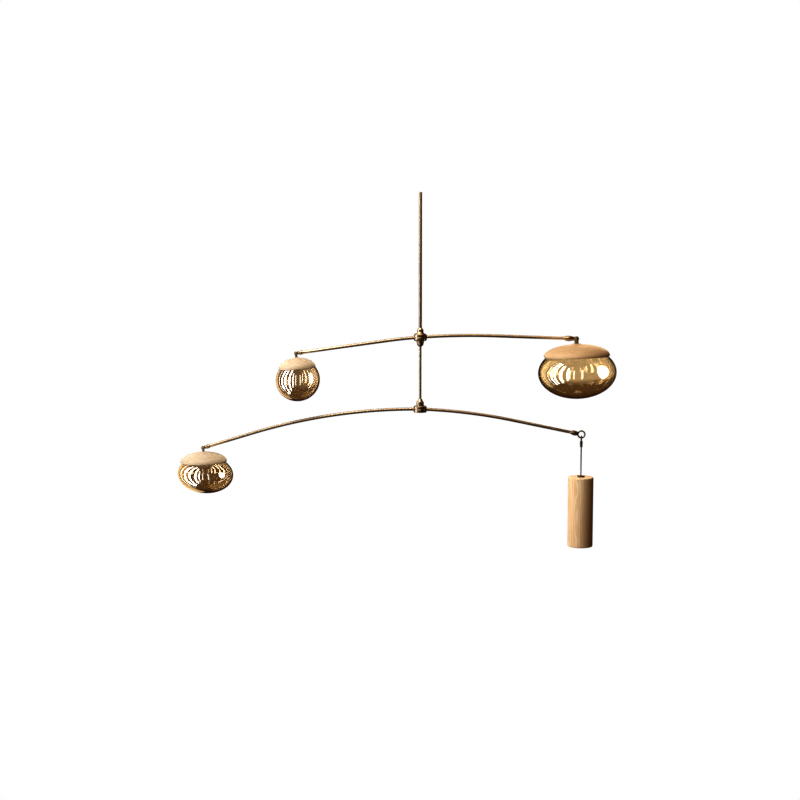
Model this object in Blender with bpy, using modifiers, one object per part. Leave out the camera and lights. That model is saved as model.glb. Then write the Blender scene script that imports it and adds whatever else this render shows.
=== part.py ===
"""Mobile chandelier: a drop rod that carries two turning tiers of bowed brass arms.

Metres, +Z up.  The origin is the centre of the drop rod's top end, where the real one goes into
its ceiling fitting.  The arms lie in the XZ plane and the front looks along -Y.  The upper tier
holds a small and a large glass shade.  The lower tier holds a medium shade and an oak weight.
"""
import math
from dataclasses import dataclass

import bmesh
import bpy
from mathutils import Matrix

# Clearances
GAP = 0.0003                    # between pieces that touch
TURNING_GAP = 0.0004            # between pieces that turn on each other

# Rods
DROP_ROD_DIAMETER = 0.0105
UPPER_TIER_DROP = 0.4580        # origin down to the middle of the upper drum
TIER_SPACING = 0.2303           # from the middle of one drum to the next
LOWER_ROD_DIAMETER = 0.0080
ARM_DIAMETER = 0.0102

# Drums, which the arms screw into
DRUM_DIAMETER = 0.0418
UPPER_DRUM_HEIGHT = 0.0230
UPPER_DRUM_EDGE = 0.0026        # bevel of its rims
LOWER_DRUM_HEIGHT = 0.0205
LOWER_DRUM_EDGE = 0.0010
DRUM_GROOVE_WIDTH = 0.0012
DRUM_GROOVE_DEPTH = 0.0006
ARM_SOCKET_DEPTH = 0.0100
LOWER_DRUM_FLOOR = 0.0060       # metal left under the lower drum's blind bore

# Collars on the stem
COLLAR_NECK_WALL = 0.0012       # wall left round the rod at a collar's narrow end
COLLAR_EDGE = 0.0010            # bevel between its body and its shoulder

# Counterweight and its hanger
EYE_RING_RADIUS = 0.0110        # to the middle of its wire
EYE_WIRE_DIAMETER = 0.0050
EYE_FERRULE_LENGTH = 0.0215
EYE_FERRULE_DIAMETER = 0.0165
HANGER_WIRE_DIAMETER = 0.0044
HANGER_DROP = 0.1380            # middle of the eye down to the top of the weight
SLEEVE_DROP = 0.0210            # middle of the eye down to the top of the sleeve
SLEEVE_LENGTH = 0.0200
SLEEVE_WALL = 0.0018
SLEEVE_SQUASH = 0.66            # a crimped sleeve is narrower across than deep
SLEEVE_SWELL_TOP = 0.0030       # top of the sleeve down to where its crimp is widest
SLEEVE_SWELL_BOTTOM = 0.0090    # and down to where it starts to narrow
HANGER_BEND = 0.0110            # height in which the wire comes back to the middle
WEIGHT_DIAMETER = 0.0810
WEIGHT_HEIGHT = 0.2257
WEIGHT_EDGE = 0.0030
WEIGHT_COLLAR_DIAMETER = 0.0240
WEIGHT_COLLAR_HEIGHT = 0.0050
WEIGHT_HOLE_DEPTH = 0.0150

# Ferrules: shares of their own length and diameter
FERRULE_NOSE = 0.72             # diameter of the end beside the knuckle
FERRULE_FULL_FROM = 0.42        # length from the nose to where it is full
FERRULE_FULL_TO = 0.60          # and to where it narrows again
FERRULE_SOCKET = 0.60           # length that the arm goes in

# Knuckles: shares of their own discs, stems and ferrules
TONGUE_WIDTH = 0.80             # of the disc's diameter
TONGUE_IN_STEM = 0.90           # of the stem's diameter, at most
TONGUE_GRIP = 0.15              # of the ferrule's length
SCREW_HEAD_HEIGHT = 0.0012
SCREW_HEAD_FLAT = 0.70          # of the head's diameter

# Shades
GLASS_WALL = 0.0030
CAP_CROWN = 0.0080              # oak left in the middle of a cap, under the top of its dome
CAP_SEAT = 0.0040               # how far a cap's underside reaches in over the glass's lip
CAP_EDGE = 0.0012               # rounding of a cap's lower edge
BOSS_FOOT = 1.25                # spread of a cap's boss where it runs into the dome
STEM_HOLE_DEPTH = 0.0045        # how far a knuckle's stem goes into its cap

# Fineness of the round shapes
ROUND = 16
SHADE_ROUND = 24
SCREW_ROUND = 12
TUBE_ROUND = 3
RING_WIRE_ROUND = 8
ARM_BEND_STEPS = 8
LOOP_STEPS = 8
DOME_STEPS = 5
BOWL_STEPS = 7
EDGE_STEPS = 2


@dataclass
class Arm:
    """A tube that bends near the drum and then runs straight."""
    name: str
    side: int                   # -1 to the left, 1 to the right
    fall: float                 # degrees below level where it leaves the drum
    bend_radius: float
    bend_length: float
    length: float               # from the drum's axis to the pivot or eye, along the tube


@dataclass
class Collar:
    """A turned ring on the stem, told from its foot, which faces the drum."""
    name: str
    foot_diameter: float
    foot_height: float          # in which it narrows to its body
    body_diameter: float
    body_height: float
    shoulder_diameter: float    # at the foot of its sloped end
    shoulder_height: float

    def height(self):
        return self.foot_height + self.body_height + self.shoulder_height


@dataclass
class Knuckle:
    """A ferrule on an arm's end and the friction hinge that it carries."""
    disc_diameter: float
    half_thickness: float
    clearance: float            # from a disc's edge to the ferrule or stem beside it
    ferrule_length: float
    ferrule_diameter: float
    stem_diameter: float
    screw_diameter: float
    screw_head_diameter: float


@dataclass
class Shade:
    """An oak cap on a blown glass bowl, hung from a knuckle."""
    name: str
    tilt: float                 # degrees, right side up
    boss_diameter: float
    boss_height: float
    rim_drop: float             # pivot down to the cap's rim
    cap_diameter: float
    cap_height: float
    glass_drop: float           # pivot down to the widest part of the glass
    glass_diameter: float
    glass_half_height: float
    glass_lean: float           # sideways shift of the blown glass for each metre down


UPPER_LEFT_ARM = Arm(
    name="upper_left_arm", side=-1, fall=4.0,
    bend_radius=1.618, bend_length=0.110, length=0.3995)
UPPER_RIGHT_ARM = Arm(
    name="upper_right_arm", side=1, fall=-4.0,
    bend_radius=2.300, bend_length=0.240, length=0.4975)
LOWER_LEFT_ARM = Arm(
    name="lower_left_arm", side=-1, fall=-0.5,
    bend_radius=1.800, bend_length=0.540, length=0.7110)
LOWER_RIGHT_ARM = Arm(
    name="lower_right_arm", side=1, fall=2.1,
    bend_radius=1.787, bend_length=0.300, length=0.5245)

TOP_COLLAR = Collar(
    name="upper_top_collar", foot_diameter=0.0270, foot_height=0.0050,
    body_diameter=0.0204, body_height=0.0090, shoulder_diameter=0.0184, shoulder_height=0.0035)
BOTTOM_COLLAR = Collar(
    name="upper_bottom_collar", foot_diameter=0.0252, foot_height=0.0118,
    body_diameter=0.0200, body_height=0.0020, shoulder_diameter=0.0180, shoulder_height=0.0036)
LOWER_COLLAR = Collar(
    name="lower_collar", foot_diameter=0.0236, foot_height=0.0030,
    body_diameter=0.0236, body_height=0.0117, shoulder_diameter=0.0186, shoulder_height=0.0078)

SMALL_KNUCKLE = Knuckle(
    disc_diameter=0.0124, half_thickness=0.0042, clearance=0.0010,
    ferrule_length=0.0150, ferrule_diameter=0.0136, stem_diameter=0.0080,
    screw_diameter=0.0032, screw_head_diameter=0.0064)
LARGE_KNUCKLE = Knuckle(
    disc_diameter=0.0164, half_thickness=0.0056, clearance=0.0012,
    ferrule_length=0.0270, ferrule_diameter=0.0178, stem_diameter=0.0140,
    screw_diameter=0.0044, screw_head_diameter=0.0084)

SMALL_SHADE = Shade(
    name="small_shade", tilt=4.0, boss_diameter=0.0120, boss_height=0.0022,
    rim_drop=0.0487, cap_diameter=0.1180, cap_height=0.0340,
    glass_drop=0.0857, glass_diameter=0.1404, glass_half_height=0.0680, glass_lean=-0.020)
LARGE_SHADE = Shade(
    name="large_shade", tilt=2.2, boss_diameter=0.0270, boss_height=0.0022,
    rim_drop=0.0570, cap_diameter=0.2100, cap_height=0.0390,
    glass_drop=0.1087, glass_diameter=0.2490, glass_half_height=0.0832, glass_lean=0.0)
MEDIUM_SHADE = Shade(
    name="medium_shade", tilt=1.0, boss_diameter=0.0120, boss_height=0.0022,
    rim_drop=0.0464, cap_diameter=0.1480, cap_height=0.0325,
    glass_drop=0.0857, glass_diameter=0.1754, glass_half_height=0.0607, glass_lean=0.125)

# Heights that follow from the sizes above
UPPER_DRUM_TOP = -UPPER_TIER_DROP + UPPER_DRUM_HEIGHT / 2
UPPER_DRUM_BOTTOM = UPPER_DRUM_TOP - UPPER_DRUM_HEIGHT
LOWER_TIER_DROP = UPPER_TIER_DROP + TIER_SPACING
LOWER_DRUM_TOP = -LOWER_TIER_DROP + LOWER_DRUM_HEIGHT / 2
TOP_COLLAR_BOTTOM = UPPER_DRUM_TOP + TURNING_GAP
ROD_SEAT = TOP_COLLAR_BOTTOM + TOP_COLLAR.height() / 2


def clear_scene():
    for obj in list(bpy.data.objects):
        bpy.data.objects.remove(obj, do_unlink=True)


def new_collection(name):
    collection = bpy.data.collections.new(name)
    bpy.context.scene.collection.children.link(collection)
    return collection


def new_material(name, colour, roughness, metallic, transmission=0.0):
    material = bpy.data.materials.new(name)
    material.use_nodes = True
    shader = material.node_tree.nodes["Principled BSDF"]
    shader.inputs["Base Color"].default_value = (*colour, 1.0)
    shader.inputs["Roughness"].default_value = roughness
    shader.inputs["Metallic"].default_value = metallic
    shader.inputs["Transmission Weight"].default_value = transmission
    return material


clear_scene()
PARTS = new_collection("mobile_chandelier")
CUTTERS = new_collection("cutters")
BRASS = new_material("antique_brass", (0.30, 0.20, 0.10), 0.35, 1.0)
DARK_METAL = new_material("dark_metal", (0.06, 0.045, 0.03), 0.45, 1.0)
OAK = new_material("pale_oak", (0.78, 0.56, 0.32), 0.55, 0.0)
GLASS = new_material("amber_glass", (0.62, 0.42, 0.16), 0.05, 0.0, 0.6)


def add(name, data, material, parent=None, location=(0, 0, 0), turn_y=0.0):
    """Put an object in the model, placed in its parent's frame."""
    obj = bpy.data.objects.new(name, data)
    data.materials.append(material)
    PARTS.objects.link(obj)
    obj.parent = parent
    obj.location = location
    obj.rotation_euler = (0, turn_y, 0)
    return obj


def empty(name, location, parent=None, turn_y=0.0):
    """A frame that a moving group turns about."""
    obj = bpy.data.objects.new(name, None)
    PARTS.objects.link(obj)
    obj.parent = parent
    obj.location = location
    obj.rotation_euler = (0, turn_y, 0)
    return obj


def smooth(mesh):
    mesh.shade_smooth()
    mesh.set_sharp_from_angle(angle=math.radians(35))


def ellipse(radius, height, middle, start, end, steps):
    """Points of an elliptical arc, by its angle from straight up, in degrees."""
    points = []
    for step in range(steps + 1):
        angle = math.radians(start + (end - start) * step / steps)
        points.append((radius * math.sin(angle), middle + height * math.cos(angle)))
    return points


def turned(name, profile, material, closed=False, segments=ROUND, **place):
    """A body turned about Z from (radius, height) points that run down its outer side."""
    outline = bpy.data.meshes.new(name + "_profile")
    count = len(profile)
    edges = [(i, i + 1) for i in range(count - 1)]
    if closed:
        edges.append((count - 1, 0))
    outline.from_pydata([(radius, 0, height) for radius, height in profile], edges, [])
    blank = bpy.data.objects.new(name + "_profile", outline)
    PARTS.objects.link(blank)
    screw = blank.modifiers.new("Turn", "SCREW")
    screw.steps = segments
    screw.render_steps = segments
    screw.use_merge_vertices = True
    screw.merge_threshold = 0.00001
    evaluated = blank.evaluated_get(bpy.context.evaluated_depsgraph_get())
    mesh = bpy.data.meshes.new_from_object(evaluated)
    bpy.data.objects.remove(blank)
    mesh.name = name
    smooth(mesh)
    return add(name, mesh, material, **place)


def tube(name, points, diameter, material, parent=None):
    """A round rod along points, given in its parent's frame."""
    curve = bpy.data.curves.new(name, "CURVE")
    curve.dimensions = "3D"
    curve.bevel_depth = diameter / 2
    curve.bevel_resolution = TUBE_ROUND
    curve.use_fill_caps = True
    spline = curve.splines.new("POLY")
    spline.points.add(len(points) - 1)
    for point, place in zip(spline.points, points):
        point.co = (*place, 1.0)
    return add(name, curve, material, parent)


def helper(obj):
    """Keep an object out of the model: it only shapes another one."""
    PARTS.objects.unlink(obj)
    CUTTERS.objects.link(obj)
    obj.hide_render = True
    obj.display_type = "WIRE"
    return obj


def combine(target, other, operation):
    boolean = target.modifiers.new(operation.title(), "BOOLEAN")
    boolean.operation = operation
    boolean.object = helper(other)


def cylinder_mesh(name, radius, depth, axis="Z"):
    """A cylinder about its own middle, along Z or Y."""
    mesh = bpy.data.meshes.new(name)
    shape = bmesh.new()
    bmesh.ops.create_cone(shape, cap_ends=True, segments=ROUND, radius1=radius,
                          radius2=radius, depth=depth)
    if axis == "Y":
        bmesh.ops.transform(shape, matrix=Matrix.Rotation(math.pi / 2, 4, "X"),
                            verts=shape.verts)
    shape.to_mesh(mesh)
    shape.free()
    smooth(mesh)
    return mesh


def box_mesh(name, size, middle):
    mesh = bpy.data.meshes.new(name)
    shape = bmesh.new()
    bmesh.ops.create_cube(shape, size=1.0)
    bmesh.ops.scale(shape, vec=size, verts=shape.verts)
    bmesh.ops.translate(shape, vec=middle, verts=shape.verts)
    shape.to_mesh(mesh)
    shape.free()
    return mesh


def torus_mesh(name, radius, wire_radius):
    """A ring with its hole along Y."""
    bpy.ops.mesh.primitive_torus_add(major_radius=radius, minor_radius=wire_radius,
                                     major_segments=ROUND,
                                     minor_segments=RING_WIRE_ROUND,
                                     rotation=(math.pi / 2, 0, 0))
    ring = bpy.context.object
    mesh = ring.data
    mesh.transform(ring.matrix_basis)
    mesh.name = name
    bpy.data.objects.remove(ring)
    smooth(mesh)
    return mesh


def arm_place(arm, distance):
    """Where an arm's middle line is, and which way it heads, this far along it."""
    start = math.radians(arm.fall)
    bent = min(distance, arm.bend_length)
    heading = start + bent / arm.bend_radius
    x = arm.bend_radius * (math.sin(heading) - math.sin(start))
    z = arm.bend_radius * (math.cos(heading) - math.cos(start))
    straight = distance - bent
    x += straight * math.cos(heading)
    z -= straight * math.sin(heading)
    turn_y = math.atan2(arm.side * math.cos(heading), -math.sin(heading))
    return (arm.side * x, 0.0, z), turn_y


def make_arm(arm, tier, ferrule_start):
    """The tube from its socket in the drum to its socket in the ferrule."""
    inner = DRUM_DIAMETER / 2 - ARM_SOCKET_DEPTH + GAP
    distances = [inner]
    for step in range(1, ARM_BEND_STEPS + 1):
        distances.append(inner + (arm.bend_length - inner) * step / ARM_BEND_STEPS)
    distances.append(ferrule_start)
    points = [arm_place(arm, distance)[0] for distance in distances]
    tube(arm.name, points, ARM_DIAMETER, BRASS, tier)


def make_drum(name, height, edge, tier, arms, bore_floor):
    """A drum with a groove round its middle, a bore for the stem and a socket for each arm."""
    radius = DRUM_DIAMETER / 2
    bore = LOWER_ROD_DIAMETER / 2 + TURNING_GAP
    half = height / 2
    side = [(radius - edge, half), (radius, half - edge),
            (radius, DRUM_GROOVE_WIDTH / 2), (radius - DRUM_GROOVE_DEPTH, 0),
            (radius, -DRUM_GROOVE_WIDTH / 2), (radius, edge - half), (radius - edge, -half)]
    if bore_floor:
        floor = bore_floor - half
        profile = [(0, floor), (bore, floor), (bore, half)] + side + [(0, -half)]
    else:
        profile = [(bore, half)] + side + [(bore, -half)]
    drum = turned(name, profile, BRASS, closed=not bore_floor, parent=tier)
    for arm in arms:
        depth = ARM_SOCKET_DEPTH + radius
        middle, turn_y = arm_place(arm, radius - ARM_SOCKET_DEPTH + depth / 2)
        cutter = add(arm.name + "_socket",
                     cylinder_mesh(arm.name + "_socket", ARM_DIAMETER / 2 + GAP, depth),
                     BRASS, tier, middle, turn_y)
        combine(drum, cutter, "DIFFERENCE")


def ferrule_profile(length, diameter, start):
    """Double cone with a blind socket for the arm in its lower end, from height start down."""
    widest = diameter / 2
    socket = ARM_DIAMETER / 2 + GAP
    inner_end = socket + (widest - socket) / 2
    depth = length * FERRULE_SOCKET
    bottom = start - length
    return [(0, start), (widest * FERRULE_NOSE, start),
            (widest, start - length * FERRULE_FULL_FROM),
            (widest, start - length * FERRULE_FULL_TO), (inner_end, bottom), (socket, bottom),
            (socket, bottom + depth), (0, bottom + depth)], bottom + depth - GAP


def half_knuckle(piece, knuckle, front, reach, width):
    """Join a half disc, and the tongue that carries it, to a turned piece below the pivot."""
    middle_y = front * (knuckle.half_thickness + TURNING_GAP) / 2
    name = piece.name
    disc = add(name + "_disc",
               cylinder_mesh(name + "_disc", knuckle.disc_diameter / 2,
                             knuckle.half_thickness, "Y"),
               BRASS, piece.parent, (0, middle_y, 0))
    combine(piece, disc, "UNION")
    tongue = add(name + "_tongue",
                 box_mesh(name + "_tongue", (width, knuckle.half_thickness, reach),
                          (0, middle_y, -reach / 2)),
                 BRASS, piece.parent)
    combine(piece, tongue, "UNION")
    bore = add(name + "_bore",
               cylinder_mesh(name + "_bore", knuckle.screw_diameter / 2 + GAP,
                             4 * knuckle.half_thickness, "Y"),
               BRASS, piece.parent)
    combine(piece, bore, "DIFFERENCE")


def make_arm_end(arm, knuckle, tier):
    """The ferrule and rear half of the knuckle, and where the shade hangs."""
    place, turn_y = arm_place(arm, arm.length)
    end = empty(arm.name + "_end", place, tier, turn_y)
    start = -(knuckle.disc_diameter / 2 + knuckle.clearance)
    profile, seat = ferrule_profile(knuckle.ferrule_length, knuckle.ferrule_diameter, start)
    name = arm.name.replace("_arm", "_ferrule")
    ferrule = turned(name, profile, BRASS, parent=end)
    half_knuckle(ferrule, knuckle, 1, -start + TONGUE_GRIP * knuckle.ferrule_length,
                 knuckle.disc_diameter * TONGUE_WIDTH)
    make_arm(arm, tier, arm.length + seat)
    return place


def make_eye(arm, tier):
    """The ferrule with the ring that the counterweight hangs from."""
    place, turn_y = arm_place(arm, arm.length)
    end = empty(arm.name + "_end", place, tier, turn_y)
    start = -EYE_RING_RADIUS
    profile, seat = ferrule_profile(EYE_FERRULE_LENGTH, EYE_FERRULE_DIAMETER, start)
    eye = turned("eye_ferrule", profile, BRASS, parent=end)
    ring = add("eye_ring", torus_mesh("eye_ring", EYE_RING_RADIUS, EYE_WIRE_DIAMETER / 2),
               BRASS, end)
    combine(eye, ring, "UNION")
    make_arm(arm, tier, arm.length + seat)
    return place


def collar_profile(collar, bore):
    """A collar's outline from its narrow end at the top down to its foot at zero."""
    height = collar.height()
    shoulder = height - collar.shoulder_height
    body = collar.body_diameter / 2
    return [(bore, height), (bore + COLLAR_NECK_WALL, height),
            (collar.shoulder_diameter / 2, shoulder), (body, shoulder - COLLAR_EDGE),
            (body, collar.foot_height), (collar.foot_diameter / 2, 0), (bore, 0)]


def make_stem():
    """The drop rod, the lower rod and the three collars that hold the drums."""
    rod_bore = DROP_ROD_DIAMETER / 2 + GAP
    lower_bore = LOWER_ROD_DIAMETER / 2 + GAP
    rod_end = ROD_SEAT + GAP
    add("drop_rod", cylinder_mesh("drop_rod", DROP_ROD_DIAMETER / 2, -rod_end), BRASS,
        location=(0, 0, rod_end / 2))
    step = ROD_SEAT - TOP_COLLAR_BOTTOM
    profile = collar_profile(TOP_COLLAR, rod_bore)
    profile[-1:] = [(lower_bore, 0), (lower_bore, step), (rod_bore, step)]
    turned(TOP_COLLAR.name, profile, BRASS, closed=True, location=(0, 0, TOP_COLLAR_BOTTOM))
    profile = collar_profile(BOTTOM_COLLAR, lower_bore)
    profile = [(across, -up) for across, up in reversed(profile)]
    turned(BOTTOM_COLLAR.name, profile, BRASS, closed=True,
           location=(0, 0, UPPER_DRUM_BOTTOM - TURNING_GAP))
    turned(LOWER_COLLAR.name, collar_profile(LOWER_COLLAR, lower_bore), BRASS, closed=True,
           location=(0, 0, LOWER_DRUM_TOP + TURNING_GAP))
    top = ROD_SEAT - GAP
    bottom = LOWER_DRUM_TOP - LOWER_DRUM_HEIGHT + LOWER_DRUM_FLOOR + TURNING_GAP
    add("lower_rod", cylinder_mesh("lower_rod", LOWER_ROD_DIAMETER / 2, top - bottom), BRASS,
        location=(0, 0, (top + bottom) / 2))


def make_knuckle_front(shade, knuckle, pivot):
    """The front half of the knuckle with its stem, and the screw that both halves turn on."""
    start = -(knuckle.disc_diameter / 2 + knuckle.clearance)
    radius = knuckle.stem_diameter / 2
    boss_top = shade.cap_height - shade.rim_drop + shade.boss_height
    bottom = boss_top - STEM_HOLE_DEPTH + GAP
    stem = turned(shade.name + "_knuckle",
                  [(0, start), (radius, start), (radius, bottom), (0, bottom)],
                  BRASS, parent=pivot)
    half_knuckle(stem, knuckle, -1, -start + (start - bottom) / 2,
                 min(knuckle.disc_diameter * TONGUE_WIDTH,
                     knuckle.stem_diameter * TONGUE_IN_STEM))
    shank = knuckle.screw_diameter / 2
    head = knuckle.screw_head_diameter / 2
    depth = knuckle.half_thickness + TURNING_GAP / 2
    face = depth + GAP
    profile = [(0, face + SCREW_HEAD_HEIGHT),
               (head * SCREW_HEAD_FLAT, face + SCREW_HEAD_HEIGHT),
               (head, face + SCREW_HEAD_HEIGHT / 2), (head, face), (shank, face),
               (shank, -depth), (0, -depth)]
    screw = turned(shade.name + "_pivot_screw", profile, BRASS, segments=SCREW_ROUND, parent=pivot)
    screw.rotation_euler = (math.pi / 2, 0, 0)


def glass_lip_radius(shade):
    """Radius of the glass where it meets the cap."""
    rise = (shade.glass_drop - shade.rim_drop - GAP) / shade.glass_half_height
    return shade.glass_diameter / 2 * math.sqrt(1 - rise * rise)


def make_cap(shade, knuckle, pivot):
    """A turned oak dome, hollow below, with a boss that the knuckle's stem goes into."""
    rim = -shade.rim_drop
    radius = shade.cap_diameter / 2
    inner_radius = glass_lip_radius(shade) - GLASS_WALL - CAP_SEAT
    boss = shade.boss_diameter / 2
    boss_top = rim + shade.cap_height + shade.boss_height
    hole = knuckle.stem_diameter / 2 + GAP
    hole_bottom = boss_top - STEM_HOLE_DEPTH
    boss_foot = math.degrees(math.asin(BOSS_FOOT * boss / radius))
    dome = ellipse(radius, shade.cap_height - CAP_EDGE, rim + CAP_EDGE, boss_foot, 90, DOME_STEPS)
    hollow = ellipse(inner_radius, shade.cap_height - CAP_CROWN, rim, 90, 0, DOME_STEPS - 1)
    profile = [(0, hole_bottom), (hole, hole_bottom), (hole, boss_top), (boss, boss_top)]
    profile += dome + [(radius - CAP_EDGE, rim)] + hollow
    turned(shade.name + "_cap", profile, OAK, segments=SHADE_ROUND, parent=pivot)


def make_glass(shade, pivot):
    """A blown bowl, open at the top where it meets the cap."""
    lip = -shade.rim_drop - GAP
    middle = -shade.glass_drop
    half = shade.glass_half_height
    start = math.degrees(math.acos((lip - middle) / half))
    inner_half = half - GLASS_WALL
    inner_start = math.degrees(math.acos((lip - middle) / inner_half))
    radius = shade.glass_diameter / 2
    inner = ellipse(radius - GLASS_WALL, inner_half, middle, 180, inner_start, BOWL_STEPS)
    outer = ellipse(radius, half, middle, start, 180, BOWL_STEPS)
    glass = turned(shade.name + "_glass", inner + outer, GLASS, segments=SHADE_ROUND,
                   parent=pivot)
    for vertex in glass.data.vertices:
        vertex.co.x += shade.glass_lean * (lip - vertex.co.z)


def make_shade(shade, knuckle, tier, place):
    pivot = empty(shade.name + "_pivot", place, tier, -math.radians(shade.tilt))
    make_knuckle_front(shade, knuckle, pivot)
    make_cap(shade, knuckle, pivot)
    make_glass(shade, pivot)


def make_hanger(tier, eye):
    """The wire that loops through the eye, the sleeve that closes it and the oak weight."""
    x, _, z = eye
    radius = HANGER_WIRE_DIAMETER / 2
    ring_wire = z - EYE_RING_RADIUS
    loop = EYE_WIRE_DIAMETER / 2 + TURNING_GAP + radius
    strand = radius + GAP / 2
    sleeve_top = z - SLEEVE_DROP
    sleeve_bottom = sleeve_top - SLEEVE_LENGTH
    weight_top = z - HANGER_DROP
    wire_end = weight_top - WEIGHT_HOLE_DEPTH + GAP
    points = [(x, 0, wire_end), (x, 0, sleeve_bottom - HANGER_BEND),
              (x, -strand, sleeve_bottom), (x, -strand, sleeve_top)]
    for across, up in ellipse(loop, loop, ring_wire, -90, 90, LOOP_STEPS):
        points.append((x, across, up))
    points += [(x, strand, sleeve_top), (x, strand, sleeve_bottom + GAP)]
    tube("hanger_wire", points, HANGER_WIRE_DIAMETER, DARK_METAL, tier)

    bore = strand + radius + 2 * GAP
    outer = bore + SLEEVE_WALL
    profile = [(bore, SLEEVE_LENGTH), (outer - SLEEVE_WALL / 2, SLEEVE_LENGTH),
               (outer, SLEEVE_LENGTH - SLEEVE_SWELL_TOP),
               (outer, SLEEVE_LENGTH - SLEEVE_SWELL_BOTTOM),
               (bore + SLEEVE_WALL / 2, 0), (bore, 0)]
    sleeve = turned("crimp_sleeve", profile, DARK_METAL, closed=True, parent=tier,
                    location=(x, 0, sleeve_bottom))
    sleeve.data.transform(Matrix.Diagonal((SLEEVE_SQUASH, 1, 1, 1)))

    wire_bore = radius + GAP
    collar = WEIGHT_COLLAR_DIAMETER / 2
    edge = WEIGHT_COLLAR_HEIGHT / 4
    profile = [(wire_bore, WEIGHT_COLLAR_HEIGHT), (collar - edge, WEIGHT_COLLAR_HEIGHT),
               (collar, WEIGHT_COLLAR_HEIGHT - edge), (collar, 0), (wire_bore, 0)]
    turned("weight_collar", profile, DARK_METAL, closed=True, parent=tier,
           location=(x, 0, weight_top + GAP))

    side = WEIGHT_DIAMETER / 2
    flat = side - WEIGHT_EDGE
    upper = [(flat + across, up) for across, up in
             ellipse(WEIGHT_EDGE, WEIGHT_EDGE, -WEIGHT_EDGE, 0, 90, EDGE_STEPS)]
    lower = [(flat + across, up) for across, up in
             ellipse(WEIGHT_EDGE, WEIGHT_EDGE, WEIGHT_EDGE - WEIGHT_HEIGHT, 90, 180, EDGE_STEPS)]
    profile = [(0, -WEIGHT_HOLE_DEPTH), (wire_bore, -WEIGHT_HOLE_DEPTH), (wire_bore, 0)]
    profile += upper + lower + [(0, -WEIGHT_HEIGHT)]
    turned("oak_weight", profile, OAK, segments=SHADE_ROUND, parent=tier,
           location=(x, 0, weight_top))


def make_upper_tier():
    tier = empty("upper_tier", (0, 0, -UPPER_TIER_DROP))
    make_drum("upper_drum", UPPER_DRUM_HEIGHT, UPPER_DRUM_EDGE, tier,
              (UPPER_LEFT_ARM, UPPER_RIGHT_ARM), 0.0)
    place = make_arm_end(UPPER_LEFT_ARM, SMALL_KNUCKLE, tier)
    make_shade(SMALL_SHADE, SMALL_KNUCKLE, tier, place)
    place = make_arm_end(UPPER_RIGHT_ARM, LARGE_KNUCKLE, tier)
    make_shade(LARGE_SHADE, LARGE_KNUCKLE, tier, place)


def make_lower_tier():
    tier = empty("lower_tier", (0, 0, -LOWER_TIER_DROP))
    make_drum("lower_drum", LOWER_DRUM_HEIGHT, LOWER_DRUM_EDGE, tier,
              (LOWER_LEFT_ARM, LOWER_RIGHT_ARM), LOWER_DRUM_FLOOR)
    place = make_arm_end(LOWER_LEFT_ARM, SMALL_KNUCKLE, tier)
    make_shade(MEDIUM_SHADE, SMALL_KNUCKLE, tier, place)
    make_hanger(tier, make_eye(LOWER_RIGHT_ARM, tier))


make_stem()
make_upper_tier()
make_lower_tier()
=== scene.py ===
"""Looks of the mobile chandelier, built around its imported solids.

Metres, in the solids' own frame: +Z up, the origin at the drop rod's top end, the front towards -Y.
Every solid is replaced by a finer piece of the same size in the same place.
"""
import math
from dataclasses import dataclass

import bmesh
import bpy
from mathutils import Matrix, Vector


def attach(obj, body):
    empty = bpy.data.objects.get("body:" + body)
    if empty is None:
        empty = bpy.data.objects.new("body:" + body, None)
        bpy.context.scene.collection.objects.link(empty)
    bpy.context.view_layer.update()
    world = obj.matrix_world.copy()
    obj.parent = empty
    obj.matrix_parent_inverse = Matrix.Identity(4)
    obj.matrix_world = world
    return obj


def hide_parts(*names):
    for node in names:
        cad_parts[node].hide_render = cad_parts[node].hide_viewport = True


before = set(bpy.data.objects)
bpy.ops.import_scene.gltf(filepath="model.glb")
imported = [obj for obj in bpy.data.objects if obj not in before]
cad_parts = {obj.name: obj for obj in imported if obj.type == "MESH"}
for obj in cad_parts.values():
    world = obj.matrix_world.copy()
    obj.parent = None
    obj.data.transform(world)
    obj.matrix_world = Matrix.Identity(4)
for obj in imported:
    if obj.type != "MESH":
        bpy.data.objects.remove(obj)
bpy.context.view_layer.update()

# Clearances
GAP = 0.0003
TURNING_GAP = 0.0004

# Rods and tiers
DROP_ROD_DIAMETER = 0.0105
UPPER_TIER_DROP = 0.4580
TIER_SPACING = 0.2303
LOWER_ROD_DIAMETER = 0.0080
ARM_DIAMETER = 0.0102
ROD_END_EDGE = 0.0005

# Drums
DRUM_DIAMETER = 0.0418
UPPER_DRUM_HEIGHT = 0.0230
UPPER_DRUM_EDGE = 0.0026
LOWER_DRUM_HEIGHT = 0.0205
LOWER_DRUM_EDGE = 0.0010
DRUM_GROOVE_WIDTH = 0.0012
DRUM_GROOVE_DEPTH = 0.0006
ARM_SOCKET_DEPTH = 0.0100
LOWER_DRUM_FLOOR = 0.0060

# Collars
COLLAR_NECK_WALL = 0.0012
COLLAR_EDGE = 0.0010

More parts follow.
